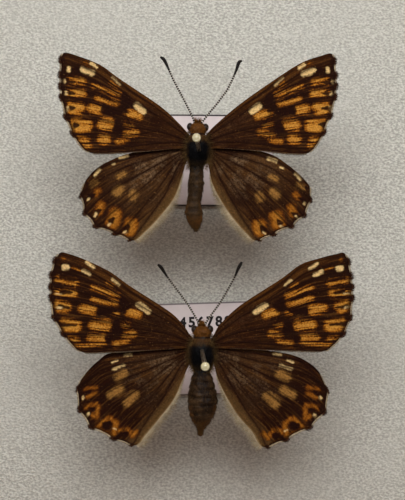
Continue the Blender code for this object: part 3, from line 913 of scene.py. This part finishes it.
# %% [markdown]
# ## Fringes
# The outer edge of a wing carries a fringe of hair scales, which is pale between the
# veins and gathers into dark tufts where they end. The back edges have finer hair:
# short and dark on the forewing, long and buff on the hindwing's inner fold.

# %% Fringes
def hair_finish(name, dark, pale, roughness=0.7):
    material, tree, shader = new_finish(name, roughness, Specular_IOR_Level=0.06)
    uneven = noise_of(tree, 900, 2, place_in(tree, "Object"))
    body = blend(tree, attribute(tree, "shade"), dark, pale)
    colour(tree, shader, blend(tree, spread(tree, uneven, 0.3, 0.7, 0, 0.3), body, dark))
    return material


FRINGE_FINISH = hair_finish("fringe_hair", tint(58, 33, 19), tint(214, 196, 162))


def edge_hairs(name, wing_name, u, v, inner_u, inner_v, length, width, shade, lean):
    """Hairs along a wing's edge, pointing from (inner_u, inner_v) out over (u, v)."""
    place, level = WING_PLACES[wing_name]
    edge = place(u, v)
    outwards = edge - place(inner_u, inner_v)
    outwards /= np.linalg.norm(outwards, axis=1, keepdims=True)
    along = np.column_stack([-outwards[:, 1], outwards[:, 0]])
    outwards = outwards + along * chance.normal(0, lean, (len(u), 1))
    rise = level + wing_rise(edge[:, 0]) + chance.uniform(-0.02, 0.02, len(u))
    roots = np.column_stack([edge - outwards * 0.06, rise])
    tips = roots + np.column_stack([outwards * length[:, None], chance.normal(0, 0.05, len(u))])
    shift = ORIGINS_MM[name]
    return roots + shift, tips + shift, width, shade


TUFT_HALF_WIDTH = 0.036


def fringe(name, kind, side):
    wing_name = f"{name}_{kind}_{side}"
    ends = np.array(VEIN_ENDS[kind])
    v = chance.uniform(0.01, 0.99, 2200)
    tuft = np.exp(-(((v[:, None] - ends) / TUFT_HALF_WIDTH) ** 4)).max(axis=1)
    length = 0.18 + 0.2 * tuft * chance.uniform(0.5, 1.4, len(v)) + chance.uniform(-0.06, 0.06, len(v))
    shade = np.clip(1 - 1.6 * tuft, 0, 1) * chance.uniform(0.3, 1.0, len(v))
    one = np.ones(len(v))
    rows = [edge_hairs(name, wing_name, one, v, 0.93 * one, v, length, 0.045 * one, shade, 0.2)]
    u = chance.uniform(0.2, 0.99, 1500 if kind == "forewing" else 2800)
    one = np.ones(len(u))
    if kind == "forewing":
        length = chance.uniform(0.1, 0.32, len(u)) * step(u, 0.3, 0.9) + 0.06
        inner, width, shade, lean = 0.95, 0.022, 0.15 * one, 0.3
    else:
        length = chance.uniform(0.15, 1.0, len(u)) * step(u, 0.1, 0.6) + 0.08
        inner, width, shade, lean = 0.9, 0.024, chance.uniform(0.4, 1.0, len(u)), 0.35
    rows.append(edge_hairs(name, wing_name, u, one, u, inner * one, length, width * one, shade, lean))
    roots, tips, width, shade = (np.concatenate(column) for column in zip(*rows))
    piece = hairs(f"{wing_name}_fringe", roots, tips, width, FRINGE_FINISH, shade)
    return len(roots)


print("fringe hairs:", sum(fringe(*wing_name.split("_")) for wing_name in WING_PLACES))

# %% [markdown]
# ## Bodies
# Head, thorax and abdomen grew as one skin, with waists between them and rings along
# the abdomen. A turned profile gives that: half-widths along the body, smoothed, and
# rolled round an axis that bends as the dried body does. Masks along it tell the
# finish where it is orange, black, olive or banded.

# %% Body profiles
# (y, half width, sideways shift) from the face to the tail, in millimetres
BODY_PROFILES = {
    "upper": [
        (2.62, 0.0, 0.0), (2.48, 0.5, 0.0), (2.15, 0.86, 0.0), (1.75, 0.93, 0.0), (1.42, 0.82, 0.0),
        (1.2, 0.88, 0.0),
        (0.8, 1.12, 0.0), (0.0, 1.34, 0.03), (-0.9, 1.28, 0.0), (-1.7, 0.98, -0.03), (-2.4, 0.72, -0.12),
        (-3.9, 0.84, -0.2), (-5.2, 0.78, -0.3), (-6.1, 0.76, -0.42), (-7.0, 0.94, -0.44), (-8.0, 0.78, -0.32),
        (-8.7, 0.42, -0.22), (-9.2, 0.0, -0.18),
    ],
    "lower": [
        (2.6, 0.0, 0.0), (2.45, 0.52, 0.0), (2.15, 0.92, 0.05), (1.75, 1.0, 0.05), (1.42, 0.88, 0.05),
        (1.2, 0.94, 0.03), (0.8, 1.22, 0.0), (-0.2, 1.46, 0.0), (-1.2, 1.36, 0.0), (-2.3, 0.86, 0.0),
        (-3.3, 1.22, 0.03), (-5.2, 1.6, 0.08), (-6.4, 1.5, 0.06), (-7.5, 1.12, 0.0), (-8.3, 0.58, -0.08),
        (-8.7, 0.34, -0.14), (-9.2, 0.26, -0.16), (-9.4, 0.0, -0.16),
    ],
}
BODY_HEIGHT = {"upper": 0.95, "lower": 0.9}  # height as a part of width
ABDOMEN_FRONT = -2.6
ABDOMEN_LENGTH = 6.6
ABDOMEN_RINGS = 8
RING_DEPTH = 0.08
RIPPLE = 0.09
BODY_SHEET = (72, 240)


def abdomen_ring(y):
    """0 in the groove between two rings of the abdomen, 1 on the middle of a ring."""
    return np.abs(np.sin(np.pi * ABDOMEN_RINGS * (y - ABDOMEN_FRONT) / ABDOMEN_LENGTH))


def body_surface(name):
    """The function that takes (u, v), round and along, to the body's skin."""
    line = smooth_line(BODY_PROFILES[name], 12)

    def place(u, v):
        y, half, shift = along_line(line, v).T
        turn = 2 * np.pi * u
        on_abdomen = 1 - step(y, -2.9, -2.4)
        groove = 1 - abdomen_ring(y) ** 0.5
        half = np.maximum(half, 0.05) * (1 - RING_DEPTH * on_abdomen * groove)
        half = np.where((v < 1e-4) | (v > 1 - 1e-4), 0.0, half)
        spot = np.column_stack([shift + half * np.cos(turn), y, BODY_HEIGHT[name] * half * np.sin(turn)])
        ripple = np.array([noise.noise(Vector(p) * 3.5) for p in spot])
        ripple *= RIPPLE * np.minimum(half, 1)
        return spot + np.column_stack([ripple * np.cos(turn), 0 * turn, ripple * np.sin(turn)])

    return place


def skin_finish(name, abdomen, ring_pale):
    material, tree, shader = new_finish(f"{name}_skin", 0.5, Specular_IOR_Level=0.1)
    spot = place_in(tree, "Object")
    dust = noise_of(tree, 5200, 3, spot)
    clouds = noise_of(tree, 900, 3, spot)
    body = blend(tree, attribute(tree, "abdomen"), tint(9, 9, 12), abdomen)
    ring = sum_of(tree, attribute(tree, "ring"), spread(tree, clouds, 0.38, 0.62, 0.1, 0.75), "MULTIPLY")
    body = blend(tree, sum_of(tree, ring, attribute(tree, "abdomen"), "MULTIPLY"), body, ring_pale)
    mottle = sum_of(tree, spread(tree, clouds, 0.45, 0.65, 0, 0.6), attribute(tree, "abdomen"), "MULTIPLY")
    body = blend(tree, mottle, body, tint(78, 57, 36))
    body = blend(tree, attribute(tree, "ochre"), body, tint(98, 60, 22))
    grain = blend(tree, spread(tree, dust, 0.3, 0.7), (0.5, 0.5, 0.5, 1), (1.0, 1.0, 1.0, 1))
    colour(tree, shader, blend(tree, 1.0, body, grain, "MULTIPLY"))
    gloss(tree, shader, dust, 0.4, 0.7)
    relief(tree, shader, sum_of(tree, dust, clouds), 0.06 * MM, 0.6)
    return material


def body(name):
    surface = body_surface(name)
    start = ORIGINS_MM[name]

    def marks(u, v):
        x, y, z = surface(u, v).T
        head = step(y, 1.32, 1.45)
        arc = y + 0.22 * x**2  # a band that bends round the front of the thorax
        collar = 0.45 * step(arc, 0.4, 1.0) * (1 - step(y, 1.15, 1.3))
        tail = 1 - step(y, -8.3, -7.2)
        tail_sides = 0.6 * (1 - step(y, -6.4, -5.6)) * step(np.abs(np.cos(2 * np.pi * u)), 0.6, 0.9)
        return {
            "abdomen": 1 - step(y, -2.9, -2.2), "ring": step(abdomen_ring(y), 0.75, 0.98),
            "ochre": np.clip(head + collar + 0.85 * tail + tail_sides, 0, 0.95),
        }

    def in_drawer(u, v):
        return (surface(u, v) + start) * MM

    mesh = bent_sheet(f"{name}_body_skin", *BODY_SHEET, in_drawer, marks)
    close_up(mesh)
    tones = {"upper": (tint(40, 27, 16), tint(74, 54, 32)), "lower": (tint(28, 16, 8), tint(66, 45, 26))}
    piece = add_piece(f"{name}_body_skin", mesh, skin_finish(name, *tones[name]))
    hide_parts(f"{name}_body")
    return surface


SURFACES = {name: body(name) for name in SPECIMENS}

# %% [markdown]
# ## Eyes
# The eyes are two glossy domes at the head's sides, finely faceted. Both are made in
# one mesh, from spheres that are squashed towards the head.

# %% Eyes
EYES = {"upper": ((-0.82, 2.12), (0.82, 2.05)), "lower": ((-0.78, 2.15), (0.88, 2.15))}
EYE_SIZE = Vector((0.36, 0.42, 0.42))
EYE_FACET_SCALE = 26000


def eye_finish():
    material, tree, shader = new_finish("eyes", 0.35, Specular_IOR_Level=0.25)
    facets = tree.nodes.new("ShaderNodeTexVoronoi")
    facets.inputs["Scale"].default_value = EYE_FACET_SCALE
    tree.links.new(place_in(tree, "Object"), facets.inputs["Vector"])
    rims = spread(tree, facets.outputs["Distance"], 0, 0.6)
    colour(tree, shader, blend(tree, rims, tint(52, 30, 18), tint(22, 12, 8)))
    relief(tree, shader, facets.outputs["Distance"], 0.01 * MM)
    return material


EYE_FINISH = eye_finish()


def eyes(name):
    shape = bmesh.new()
    for x, y in EYES[name]:
        spot = Matrix.Translation(ORIGINS[name] + Vector((x, y, 0.08)) * MM)
        bmesh.ops.create_uvsphere(
            shape, u_segments=28, v_segments=18, radius=1, matrix=spot @ Matrix.Diagonal((*EYE_SIZE * MM, 1))
        )
    mesh = mesh_of(shape, f"{name}_eyes")
    mesh.shade_smooth()
    add_piece(f"{name}_eyes", mesh, EYE_FINISH)


for name in SPECIMENS:
    eyes(name)

# %% [markdown]
# ## Hair on the bodies
# The thorax is thickly furred, longest at its sides where the wings join, and the
# face ends in a tuft of palps. The hairs start on the skin, lean back, and take their
# shade from where they grow: olive in front, blue-black in the middle, pale behind.

# %% Body hair
BODY_HAIR = hair_finish("body_hair", tint(10, 9, 11), tint(122, 92, 52))
FACE_HAIR = hair_finish("face_hair", tint(52, 27, 9), tint(146, 94, 38))


def grow(name, count, y_range, length, back, shade_of, width=0.03):
    """Roots and ends of hairs on the upper half of the body's skin, between two y values."""
    surface = SURFACES[name]
    u = chance.uniform(0, 0.5, count * 4)
    v = chance.uniform(0.01, 0.99, count * 4)
    spot = surface(u, v)
    inside = (spot[:, 1] > y_range[0]) & (spot[:, 1] < y_range[1])
    u, v, spot = u[inside][:count], v[inside][:count], spot[inside][:count]
    outwards = np.column_stack([np.cos(2 * np.pi * u), np.zeros(len(u)), np.sin(2 * np.pi * u)])
    leaning = outwards * chance.uniform(0.25, 0.6, (len(u), 1)) + np.array((0, -back, 0))
    leaning += chance.normal(0, 0.22, leaning.shape)
    leaning /= np.linalg.norm(leaning, axis=1, keepdims=True)
    reach = chance.uniform(0.5, 1.0, (len(u), 1)) * length
    start = ORIGINS_MM[name]
    return spot + start, spot + leaning * reach + start, np.full(len(u), width), shade_of(u, spot)


def thorax_shade(name):
    def shade(u, spot):
        front = step(spot[:, 1], 0.3, 0.8)
        behind = 1 - step(spot[:, 1], -2.2, -1.2)
        sides = step(np.abs(np.cos(2 * np.pi * u)), 0.6, 0.95)
        return np.clip((0.6 * front + 0.35 * behind + 0.35 * sides) * chance.uniform(0.3, 1.3, len(u)), 0, 1)

    return shade


def even_shade(low, high):
    return lambda u, spot: chance.uniform(low, high, len(u))


def body_hair(name):
    rows = [
        grow(name, 2600, (-2.0, 1.2), 0.4, 0.7, thorax_shade(name)),
        grow(name, 2600, (-9.2, -1.9), 0.3, 1.0, even_shade(0.0, 0.6), 0.022),
        shoulder_hair(name, 900),
    ]
    roots, ends, width, shade = (np.concatenate(column) for column in zip(*rows))
    hairs(f"{name}_body_hair", roots, ends, width, BODY_HAIR, shade)
    rows = [
        grow(name, 1100, (1.38, 2.6), 0.24, 0.3, even_shade(0.1, 0.9), 0.03),
        palps(name, 260),
    ]
    roots, ends, width, shade = (np.concatenate(column) for column in zip(*rows))
    hairs(f"{name}_face_hair", roots, ends, width, FACE_HAIR, shade)


SHOULDER = 1.05  # half the thorax's width where the wings join


def shoulder_hair(name, count):
    """Longer hairs from the thorax's sides, which lie over the roots of the wings."""
    side = chance.choice([-1, 1], count)
    y = chance.uniform(-2.4, 1.6, count)
    # 1 in the middle of the thorax, near 0 at its ends
    bulge = np.sqrt(np.clip(1 - ((y + 0.4) / 2.1) ** 2, 0.02, 1))
    roots = np.column_stack([side * SHOULDER * (0.6 + 0.4 * bulge), y, chance.uniform(0.2, 0.75, count)])
    reach = np.column_stack([side, 0.1 - 0.3 * (1.0 - y), np.full(count, -0.3)])
    reach += chance.normal(0, 0.25, (count, 3))
    length = chance.uniform(0.4, 1.25, count) * (0.35 + 0.65 * bulge)
    reach *= (length / np.linalg.norm(reach, axis=1))[:, None]
    start = ORIGINS_MM[name]
    shade = np.clip(0.3 + 0.25 * step(-y, -1.0, 2.0) + chance.uniform(-0.25, 0.4, count), 0, 1)
    return roots + start, roots + reach + start, np.full(count, 0.022), shade


def palps(name, count):
    """Two brushes of hair that point forward from the face."""
    side = chance.choice([-1, 1], count)
    roots = np.column_stack([
        side * 0.17 + chance.normal(0, 0.12, count),
        np.full(count, 2.5),
        chance.normal(0, 0.15, count),
    ])
    ends = roots + np.column_stack([
        side * 0.06 + chance.normal(0, 0.08, count),
        chance.uniform(0.25, 0.75, count),
        chance.normal(0.05, 0.1, count),
    ])
    start = ORIGINS_MM[name]
    return roots + start, ends + start, np.full(count, 0.035), chance.uniform(0.1, 0.8, count)


for name in SPECIMENS:
    body_hair(name)

# %% [markdown]
# ## Antennae
# An antenna is a fine ringed rod, dark with pale joints, that ends in a flattened
# club. It is a sheet rolled round a smooth line, so its v runs along it and the
# rings are stripes in v. Each follows its own bend, and rises gently to the club.

# %% Antennae
ANTENNAE = {
    "upper_left": [
        (-0.38, 2.6), (-0.6, 3.21), (-1.43, 4.87), (-2.63, 7.14), (-3.22, 8.46), (-3.6, 9.2),
        (-4.0, 9.5),
    ],
    "upper_right": [
        (0.3, 2.4), (1.2, 3.51), (2.51, 5.12), (3.35, 6.37), (4.12, 8.1), (4.4, 8.9), (4.73, 9.1),
    ],
    "lower_left": [(-0.3, 2.8), (-1.35, 4.6), (-2.19, 5.79), (-3.74, 7.88), (-4.3, 8.75), (-4.7, 9.14)],
    "lower_right": [(0.35, 2.7), (1.07, 3.79), (2.11, 5.26), (3.42, 7.59), (3.85, 8.6), (4.28, 9.4)],
}
ANTENNA_RISE = (0.25, 0.75)
SHAFT_RADIUS = 0.065
BEAD_RISE = 0.045
CLUB_RADIUS = 0.135
RING_PITCH = 0.25
ANTENNA_SHEET = (14, 320)


def antenna_finish():
    material, tree, shader = new_finish("antennae", 0.5, Specular_IOR_Level=0.12)
    uneven = noise_of(tree, 4000, 2, place_in(tree, "Object"))
    dark = blend(tree, uneven, tint(8, 6, 5), tint(22, 15, 11))
    colour(tree, shader, blend(tree, attribute(tree, "pale"), dark, tint(214, 204, 188)))
    relief(tree, shader, uneven, 0.02 * MM, 0.5)
    return material


ANTENNA_FINISH = antenna_finish()


def antenna(key):
    name, side = key.split("_")
    flat = smooth_line(ANTENNAE[key])
    reach = np.linalg.norm(np.diff(flat, axis=0), axis=1).sum()
    start = ORIGINS_MM[name]

    def pale(v):
        return step(np.sin(2 * np.pi * v * reach / RING_PITCH), 0.4, 0.7) * (1 - step(v, 0.74, 0.8))

    def radius(v):
        bead = BEAD_RISE * (1 - pale(v))
        club = (CLUB_RADIUS - SHAFT_RADIUS) * step(v, 0.78, 0.93) * (1 - 0.9 * step(v, 0.95, 1.0))
        return SHAFT_RADIUS + bead + club

    def place(u, v):
        spot = along_line(flat, v)
        ahead = along_line(flat, np.clip(v + 0.01, 0, 1)) - along_line(flat, np.clip(v - 0.01, 0, 1))
        ahead /= np.linalg.norm(ahead, axis=1, keepdims=True)
        thick = radius(v) * np.where((v < 1e-4) | (v > 1 - 1e-4), 0.0, 1.0)
        turn = 2 * np.pi * u
        aside = np.column_stack([-ahead[:, 1], ahead[:, 0]]) * (thick * np.cos(turn))[:, None]
        rise = ANTENNA_RISE[0] + (ANTENNA_RISE[1] - ANTENNA_RISE[0]) * v
        return (np.column_stack([spot + aside, rise + thick * np.sin(turn)]) + start) * MM

    def marks(u, v):
        return {"pale": 0.9 * pale(v)}

    mesh = bent_sheet(f"{key}_antenna_rod", *ANTENNA_SHEET, place, marks)
    close_up(mesh)
    piece = add_piece(f"{key}_antenna_rod", mesh, ANTENNA_FINISH)
    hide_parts(f"{name}_antenna_{side}")


for key in ANTENNAE:
    antenna(key)

# %% [markdown]
# ## Pins
# The shanks are drawn steel and are right as the frame has them, so they only get
# their finish. The heads are small balls of cream enamel. They are made again, with
# a finer roundness and a little neck where the enamel ran down the shank.

# %% Pins
def steel_finish():
    material, tree, shader = new_finish("steel", 0.3, Metallic=1.0)
    drawn = noise_of(tree, 1, 2, place_in(tree, "Object", scale=(9000, 9000, 300)))
    colour(tree, shader, blend(tree, drawn, tint(120, 112, 98), tint(170, 162, 146)))
    gloss(tree, shader, drawn, 0.22, 0.42)
    relief(tree, shader, drawn, 0.005 * MM, 0.4)
    return material


def enamel_finish():
    material, tree, shader = new_finish("pin_enamel", 0.25, Coat_Weight=0.4)
    cloudy = noise_of(tree, 2200, 2, place_in(tree, "Object"))
    colour(tree, shader, blend(tree, cloudy, tint(140, 131, 100), tint(166, 157, 126)))
    relief(tree, shader, cloudy, 0.01 * MM, 0.4)
    return material


STEEL = steel_finish()
ENAMEL = enamel_finish()


def pin_head(name):
    low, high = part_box(f"{name}_pin_head")
    middle = (low + high) / 2
    radius = (high.x - low.x) / 2
    shape = bmesh.new()
    bmesh.ops.create_uvsphere(shape, u_segments=48, v_segments=32, radius=radius)
    for vertex in shape.verts:
        fall = max(0.0, -vertex.co.z / radius)
        vertex.co.z -= 0.12 * radius * fall**4
    bmesh.ops.translate(shape, vec=middle, verts=shape.verts)
    mesh = mesh_of(shape, f"{name}_enamel_ball")
    mesh.shade_smooth()
    piece = add_piece(f"{name}_enamel_ball", mesh, ENAMEL)
    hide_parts(f"{name}_pin_head")


def refinish(node, material):
    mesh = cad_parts[node].data
    mesh.materials.clear()
    mesh.materials.append(material)


for name in SPECIMENS:
    pin_head(name)
    refinish(f"{name}_pin", STEEL)

# %% [markdown]
# ## Data labels
# A label is a slip of stiff paper with a printed border at its cut edges. The slip
# curls very slightly. The border is drawn on its UV map, and the figures on the
# lower label are thin raised ink in Blender's own typeface.

# %% Labels
LABEL_SHEET = (80, 50)
LABEL_THICKNESS = 0.17 * MM
LABEL_SINK = 0.05 * MM  # how far a flat part lies below the top of the frame's label
LABEL_CURL = 0.105 * MM


def paper_finish(name, border_strength):
    material, tree, shader = new_finish(f"{name}_paper", 0.8, Specular_IOR_Level=0.25)
    fibres = noise_of(tree, 1400, 4, place_in(tree, "Object"))
    paper = blend(tree, fibres, tint(196, 187, 189), tint(210, 201, 203))
    split = tree.nodes.new("ShaderNodeSeparateXYZ")
    tree.links.new(place_in(tree, "UV"), split.inputs[0])
    from_middle = sum_of(tree, sum_of(tree, split.outputs["Y"], 0.5, "SUBTRACT"), 0, "ABSOLUTE")
    line = spread(tree, from_middle, 0.481, 0.486, 0, border_strength)
    colour(tree, shader, blend(tree, line, paper, tint(24, 22, 24)))
    relief(tree, shader, fibres, 0.02 * MM, 0.5)
    return material


def label(name, turn, border_strength):
    low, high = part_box(f"{name}_label")
    middle = (low + high) / 2
    c, s = math.cos(turn), math.sin(turn)
    width = (high.x - low.x - (high.y - low.y) * abs(s)) / (c - s * s)
    depth = (high.y - low.y - width * abs(s)) / c

    def place(u, v):
        x, y = width * (u - 0.5), depth * (v - 0.5)
        z = high.z - LABEL_SINK + LABEL_CURL * (2 * u - 1) ** 2 * (0.4 + 0.6 * v)
        return np.column_stack([middle.x + c * x - s * y, middle.y + s * x + c * y, z])

    mesh = bent_sheet(f"{name}_slip", *LABEL_SHEET, place)
    piece = add_piece(f"{name}_slip", mesh, paper_finish(name, border_strength))
    solid_sheet(piece, LABEL_THICKNESS)
    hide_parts(f"{name}_label")
    print(name, "label in mm:", round(width / MM, 2), round(depth / MM, 2))
    return Matrix.Translation((middle.x, middle.y, high.z)) @ Matrix.Rotation(turn, 4, "Z")


def figures(name, rows, frame_of_label):
    """Rows of digits as flat ink. Each row is (text, size, x, y) in millimetres on the label."""
    material, tree, shader = new_finish("ink", 0.7, Specular_IOR_Level=0.1)
    mottle = noise_of(tree, 3000, 2, place_in(tree, "Object"))
    colour(tree, shader, blend(tree, mottle, tint(16, 14, 16), tint(44, 40, 42)))
    shape = bmesh.new()
    for text, size, x, y in rows:
        curve = bpy.data.curves.new("row", "FONT")
        curve.body = text
        curve.size = size * MM
        curve.align_x = "CENTER"
        curve.space_character = 1.3
        curve.offset = 0.062 * MM
        curve.extrude = 0.004 * MM
        carrier = bpy.data.objects.new("row", curve)
        row = bpy.data.meshes.new_from_object(carrier)
        row.transform(frame_of_label @ Matrix.Translation(Vector((x, y, 0.0)) * MM))
        shape.from_mesh(row)
        bpy.data.objects.remove(carrier)
        bpy.data.meshes.remove(row)
    bmesh.ops.remove_doubles(shape, verts=shape.verts, dist=0.0005 * MM)
    mesh = mesh_of(shape, f"{name}_figures")
    add_piece(f"{name}_figures", mesh, material)


label("upper", math.radians(-0.4), 0.95)
on_lower = label("lower", math.radians(1.8), 0.7)
figures("lower", [("3456789", 1.7, 0.0, 2.72), ("1011121314", 1.7, 0.2, 0.6)], on_lower)

# %% [markdown]
# ## The box's finishes
# Timber is the same all the way through, so its figure is a solid pattern: growth
# rings round a far-off pith, wavering along the board. A board cut along the pith
# shows long lines on its faces and arcs on its ends, and both come from the one
# pattern, so the finger joints show end grain without any trick.

# %% Wood, plywood, brass and card
def wood_finish(name, along, shift):
    """Rings about a line that runs along the board, in X or in Y."""
    material, tree, shader = new_finish(name, 0.45, Specular_IOR_Level=0.4)
    turn = (0, 0, math.pi / 2) if along == "X" else (0, 0, 0)
    grain = place_in(tree, "Object", turn=turn, shift=shift)
    stretched = tree.nodes.new("ShaderNodeMapping")
    stretched.inputs["Scale"].default_value = (1, 0.08, 1)
    tree.links.new(grain, stretched.inputs["Vector"])
    waver = noise_of(tree, 45, 3, stretched.outputs["Vector"])
    rings = tree.nodes.new("ShaderNodeTexWave")
    rings.wave_type = "RINGS"
    rings.rings_direction = "Y"
    rings.inputs["Scale"].default_value = 150
    rings.inputs["Distortion"].default_value = 2.0
    rings.inputs["Detail"].default_value = 2
    rings.inputs["Detail Scale"].default_value = 0.35
    tree.links.new(stretched.outputs["Vector"], rings.inputs["Vector"])
    fibres = noise_of(tree, 2600, 3, stretched.outputs["Vector"])
    body = blend(tree, rings.outputs["Fac"], tint(172, 126, 82), tint(146, 100, 60))
    body = blend(tree, spread(tree, fibres, 0.35, 0.7, 0, 0.6), body, tint(118, 78, 46))
    body = blend(tree, spread(tree, waver, 0.35, 0.65, 0, 0.4), body, tint(186, 146, 102))
    colour(tree, shader, body)
    gloss(tree, shader, fibres, 0.36, 0.56)
    relief(tree, shader, fibres, 0.03 * MM, 0.5)
    return material


def plywood_finish():
    material, tree, shader = new_finish("plywood", 0.7)
    face = place_in(tree, "Object", scale=(40, 900, 900))
    figure = noise_of(tree, 1, 3, face)
    split = tree.nodes.new("ShaderNodeSeparateXYZ")
    tree.links.new(place_in(tree, "Object", scale=(1, 1, 1 / (1.0 * MM))), split.inputs[0])
    plies = sum_of(tree, sum_of(tree, split.outputs["Z"], 2.0, "MODULO"), 1.0, "GREATER_THAN")
    body = blend(tree, figure, tint(206, 178, 138), tint(176, 144, 104))
    colour(tree, shader, blend(tree, sum_of(tree, plies, 0.35, "MULTIPLY"), body, tint(140, 106, 72)))
    relief(tree, shader, figure, 0.03 * MM, 0.5)
    return material


def brass_finish():
    material, tree, shader = new_finish("brass", 0.35, Metallic=1.0)
    spot = place_in(tree, "Object")
    rubs = noise_of(tree, 1, 3, place_in(tree, "Object", scale=(300, 4000, 2500)))
    tarnish = noise_of(tree, 320, 4, spot)
    body = blend(tree, spread(tree, tarnish, 0.4, 0.7, 0, 0.75), tint(204, 172, 104), tint(128, 96, 52))
    colour(tree, shader, body)
    gloss(tree, shader, sum_of(tree, rubs, tarnish, "MULTIPLY"), 0.24, 0.5)
    relief(tree, shader, rubs, 0.01 * MM, 0.4)
    return material


def card_finish():
    material, tree, shader = new_finish("card", 0.85, Specular_IOR_Level=0.2)
    fibres = noise_of(tree, 900, 4, place_in(tree, "Object"))
    colour(tree, shader, blend(tree, fibres, tint(222, 214, 190), tint(236, 230, 210)))
    relief(tree, shader, fibres, 0.02 * MM, 0.5)
    return material


for node, along, shift in (
    ("front_panel", "X", (0.012, 0.0, 0.03)), ("back_panel", "X", (0.021, 0.02, -0.04)),
    ("left_side", "Y", (0.017, 0.01, -0.05)), ("right_side", "Y", (-0.024, 0.03, 0.02)),
):
    refinish(node, wood_finish(f"{node}_wood", along, shift))
refinish("bottom_panel", plywood_finish())
BRASS = brass_finish()
for node in ("card_holder", "card_tack_left", "card_tack_right"):
    refinish(node, BRASS)
refinish("card", card_finish())

# %% [markdown]
# ## Knob
# The knob was turned on a lathe, so it is a half profile spun round its axis. The
# frame's knob is right in size but shows flat facets, so it is spun again here
# through the same few widths with many more steps, and stands where the frame's does.

# %% Knob
# (radius, height out from the front board), from the crown to the back of the foot, in millimetres
KNOB_PROFILE = [
    (0.0, 12.0), (2.2, 11.8), (4.4, 10.9), (5.6, 9.3), (5.6, 7.7), (4.4, 6.2), (2.6, 5.0), (2.2, 3.4),
    (2.6, 2.0),
    (4.6, 1.2), (4.8, 0.5), (4.8, 0.15),
]
KNOB_STEPS = 72


def knob():
    low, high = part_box("knob")
    middle = (low + high) / 2
    board_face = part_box("front_panel")[0].y
    foot = KNOB_PROFILE[-1][1]
    shape = bmesh.new()
    line = [*smooth_line(KNOB_PROFILE, 8), (0.0, foot)]
    verts = [shape.verts.new((max(radius, 0) * MM, -height * MM, 0)) for radius, height in line]
    edges = [shape.edges.new(pair) for pair in zip(verts, verts[1:])]
    bmesh.ops.spin(
        shape, geom=verts + edges, cent=(0, 0, 0), axis=(0, 1, 0), angle=2 * math.pi, steps=KNOB_STEPS,
        use_merge=True,
    )
    bmesh.ops.remove_doubles(shape, verts=shape.verts, dist=0.001 * MM)
    bmesh.ops.recalc_face_normals(shape, faces=shape.faces)
    bmesh.ops.translate(shape, vec=(middle.x, board_face, middle.z), verts=shape.verts)
    mesh = mesh_of(shape, "turned_knob")
    mesh.shade_smooth()
    mesh.set_sharp_from_angle(angle=math.radians(40))
    piece = add_piece("turned_knob", mesh, BRASS)
    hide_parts("knob")
    print("knob faces:", len(mesh.polygons))


knob()

# %% [markdown]
# ## The floor
# A plain pale surface, which curves up far from the drawer into a low wall, as a
# studio's paper roll does, so that no edge of it shows from any side. It is a
# profile spun round the upright axis. Its far part glows faintly, which lights
# the drawer's outside evenly. It belongs to the room.

# %% Floor
FLOOR_RADIUS = 1.1
FLOOR_CURVE = 0.5
FLOOR_GLOW = 0.6
FLOOR_GLOW_SPAN = (0.6, 1.0)  # where the glow begins, and where it is full
FLOOR_GAP = 0.0002  # keeps the floor just under the drawer, so that the two faces don't flicker


def floor_finish():
    material, tree, shader = new_finish("floor", 0.8)
    uneven = noise_of(tree, 30, 3, place_in(tree, "Object"))
    colour(tree, shader, blend(tree, uneven, tint(200, 198, 194), tint(208, 206, 202)))
    away = tree.nodes.new("ShaderNodeVectorMath")
    away.operation = "LENGTH"
    tree.links.new(place_in(tree, "Object", scale=(1, 1, 0)), away.inputs[0])
    shader.inputs["Emission Color"].default_value = tint(250, 249, 246)
    glow = spread(tree, away.outputs["Value"], *FLOOR_GLOW_SPAN, 0, FLOOR_GLOW)
    feed(tree, shader.inputs["Emission Strength"], glow)
    return material


def floor():
    shape = bmesh.new()
    turns = [math.radians(angle) for angle in range(0, 91, 10)]
    curve = [(FLOOR_RADIUS + FLOOR_CURVE * math.sin(t), FLOOR_CURVE * (1 - math.cos(t))) for t in turns]
    verts = [shape.verts.new((x, 0, z)) for x, z in [(0, 0), *curve]]
    edges = [shape.edges.new(pair) for pair in zip(verts, verts[1:])]
    bmesh.ops.spin(
        shape, geom=verts + edges, cent=(0, 0, 0), axis=(0, 0, 1), angle=2 * math.pi, steps=72, use_merge=True
    )
    bmesh.ops.remove_doubles(shape, verts=shape.verts, dist=MM)
    bmesh.ops.recalc_face_normals(shape, faces=shape.faces)
    if min(shape.faces, key=lambda face: face.calc_center_median().length).normal.z < 0:
        bmesh.ops.reverse_faces(shape, faces=shape.faces)
    bmesh.ops.translate(shape, vec=(0, 0, cad_box[0][2] - FLOOR_GAP), verts=shape.verts)
    mesh = mesh_of(shape, "floor")
    mesh.shade_smooth()
    mesh.materials.append(floor_finish())
    made = bpy.data.objects.new("floor", mesh)
    bpy.context.collection.objects.link(made)


floor()

# %% [markdown]
# ## Finish
# The view layer is brought up to date, so that every piece stands where it was put.

# %% Finish
bpy.context.view_layer.update()
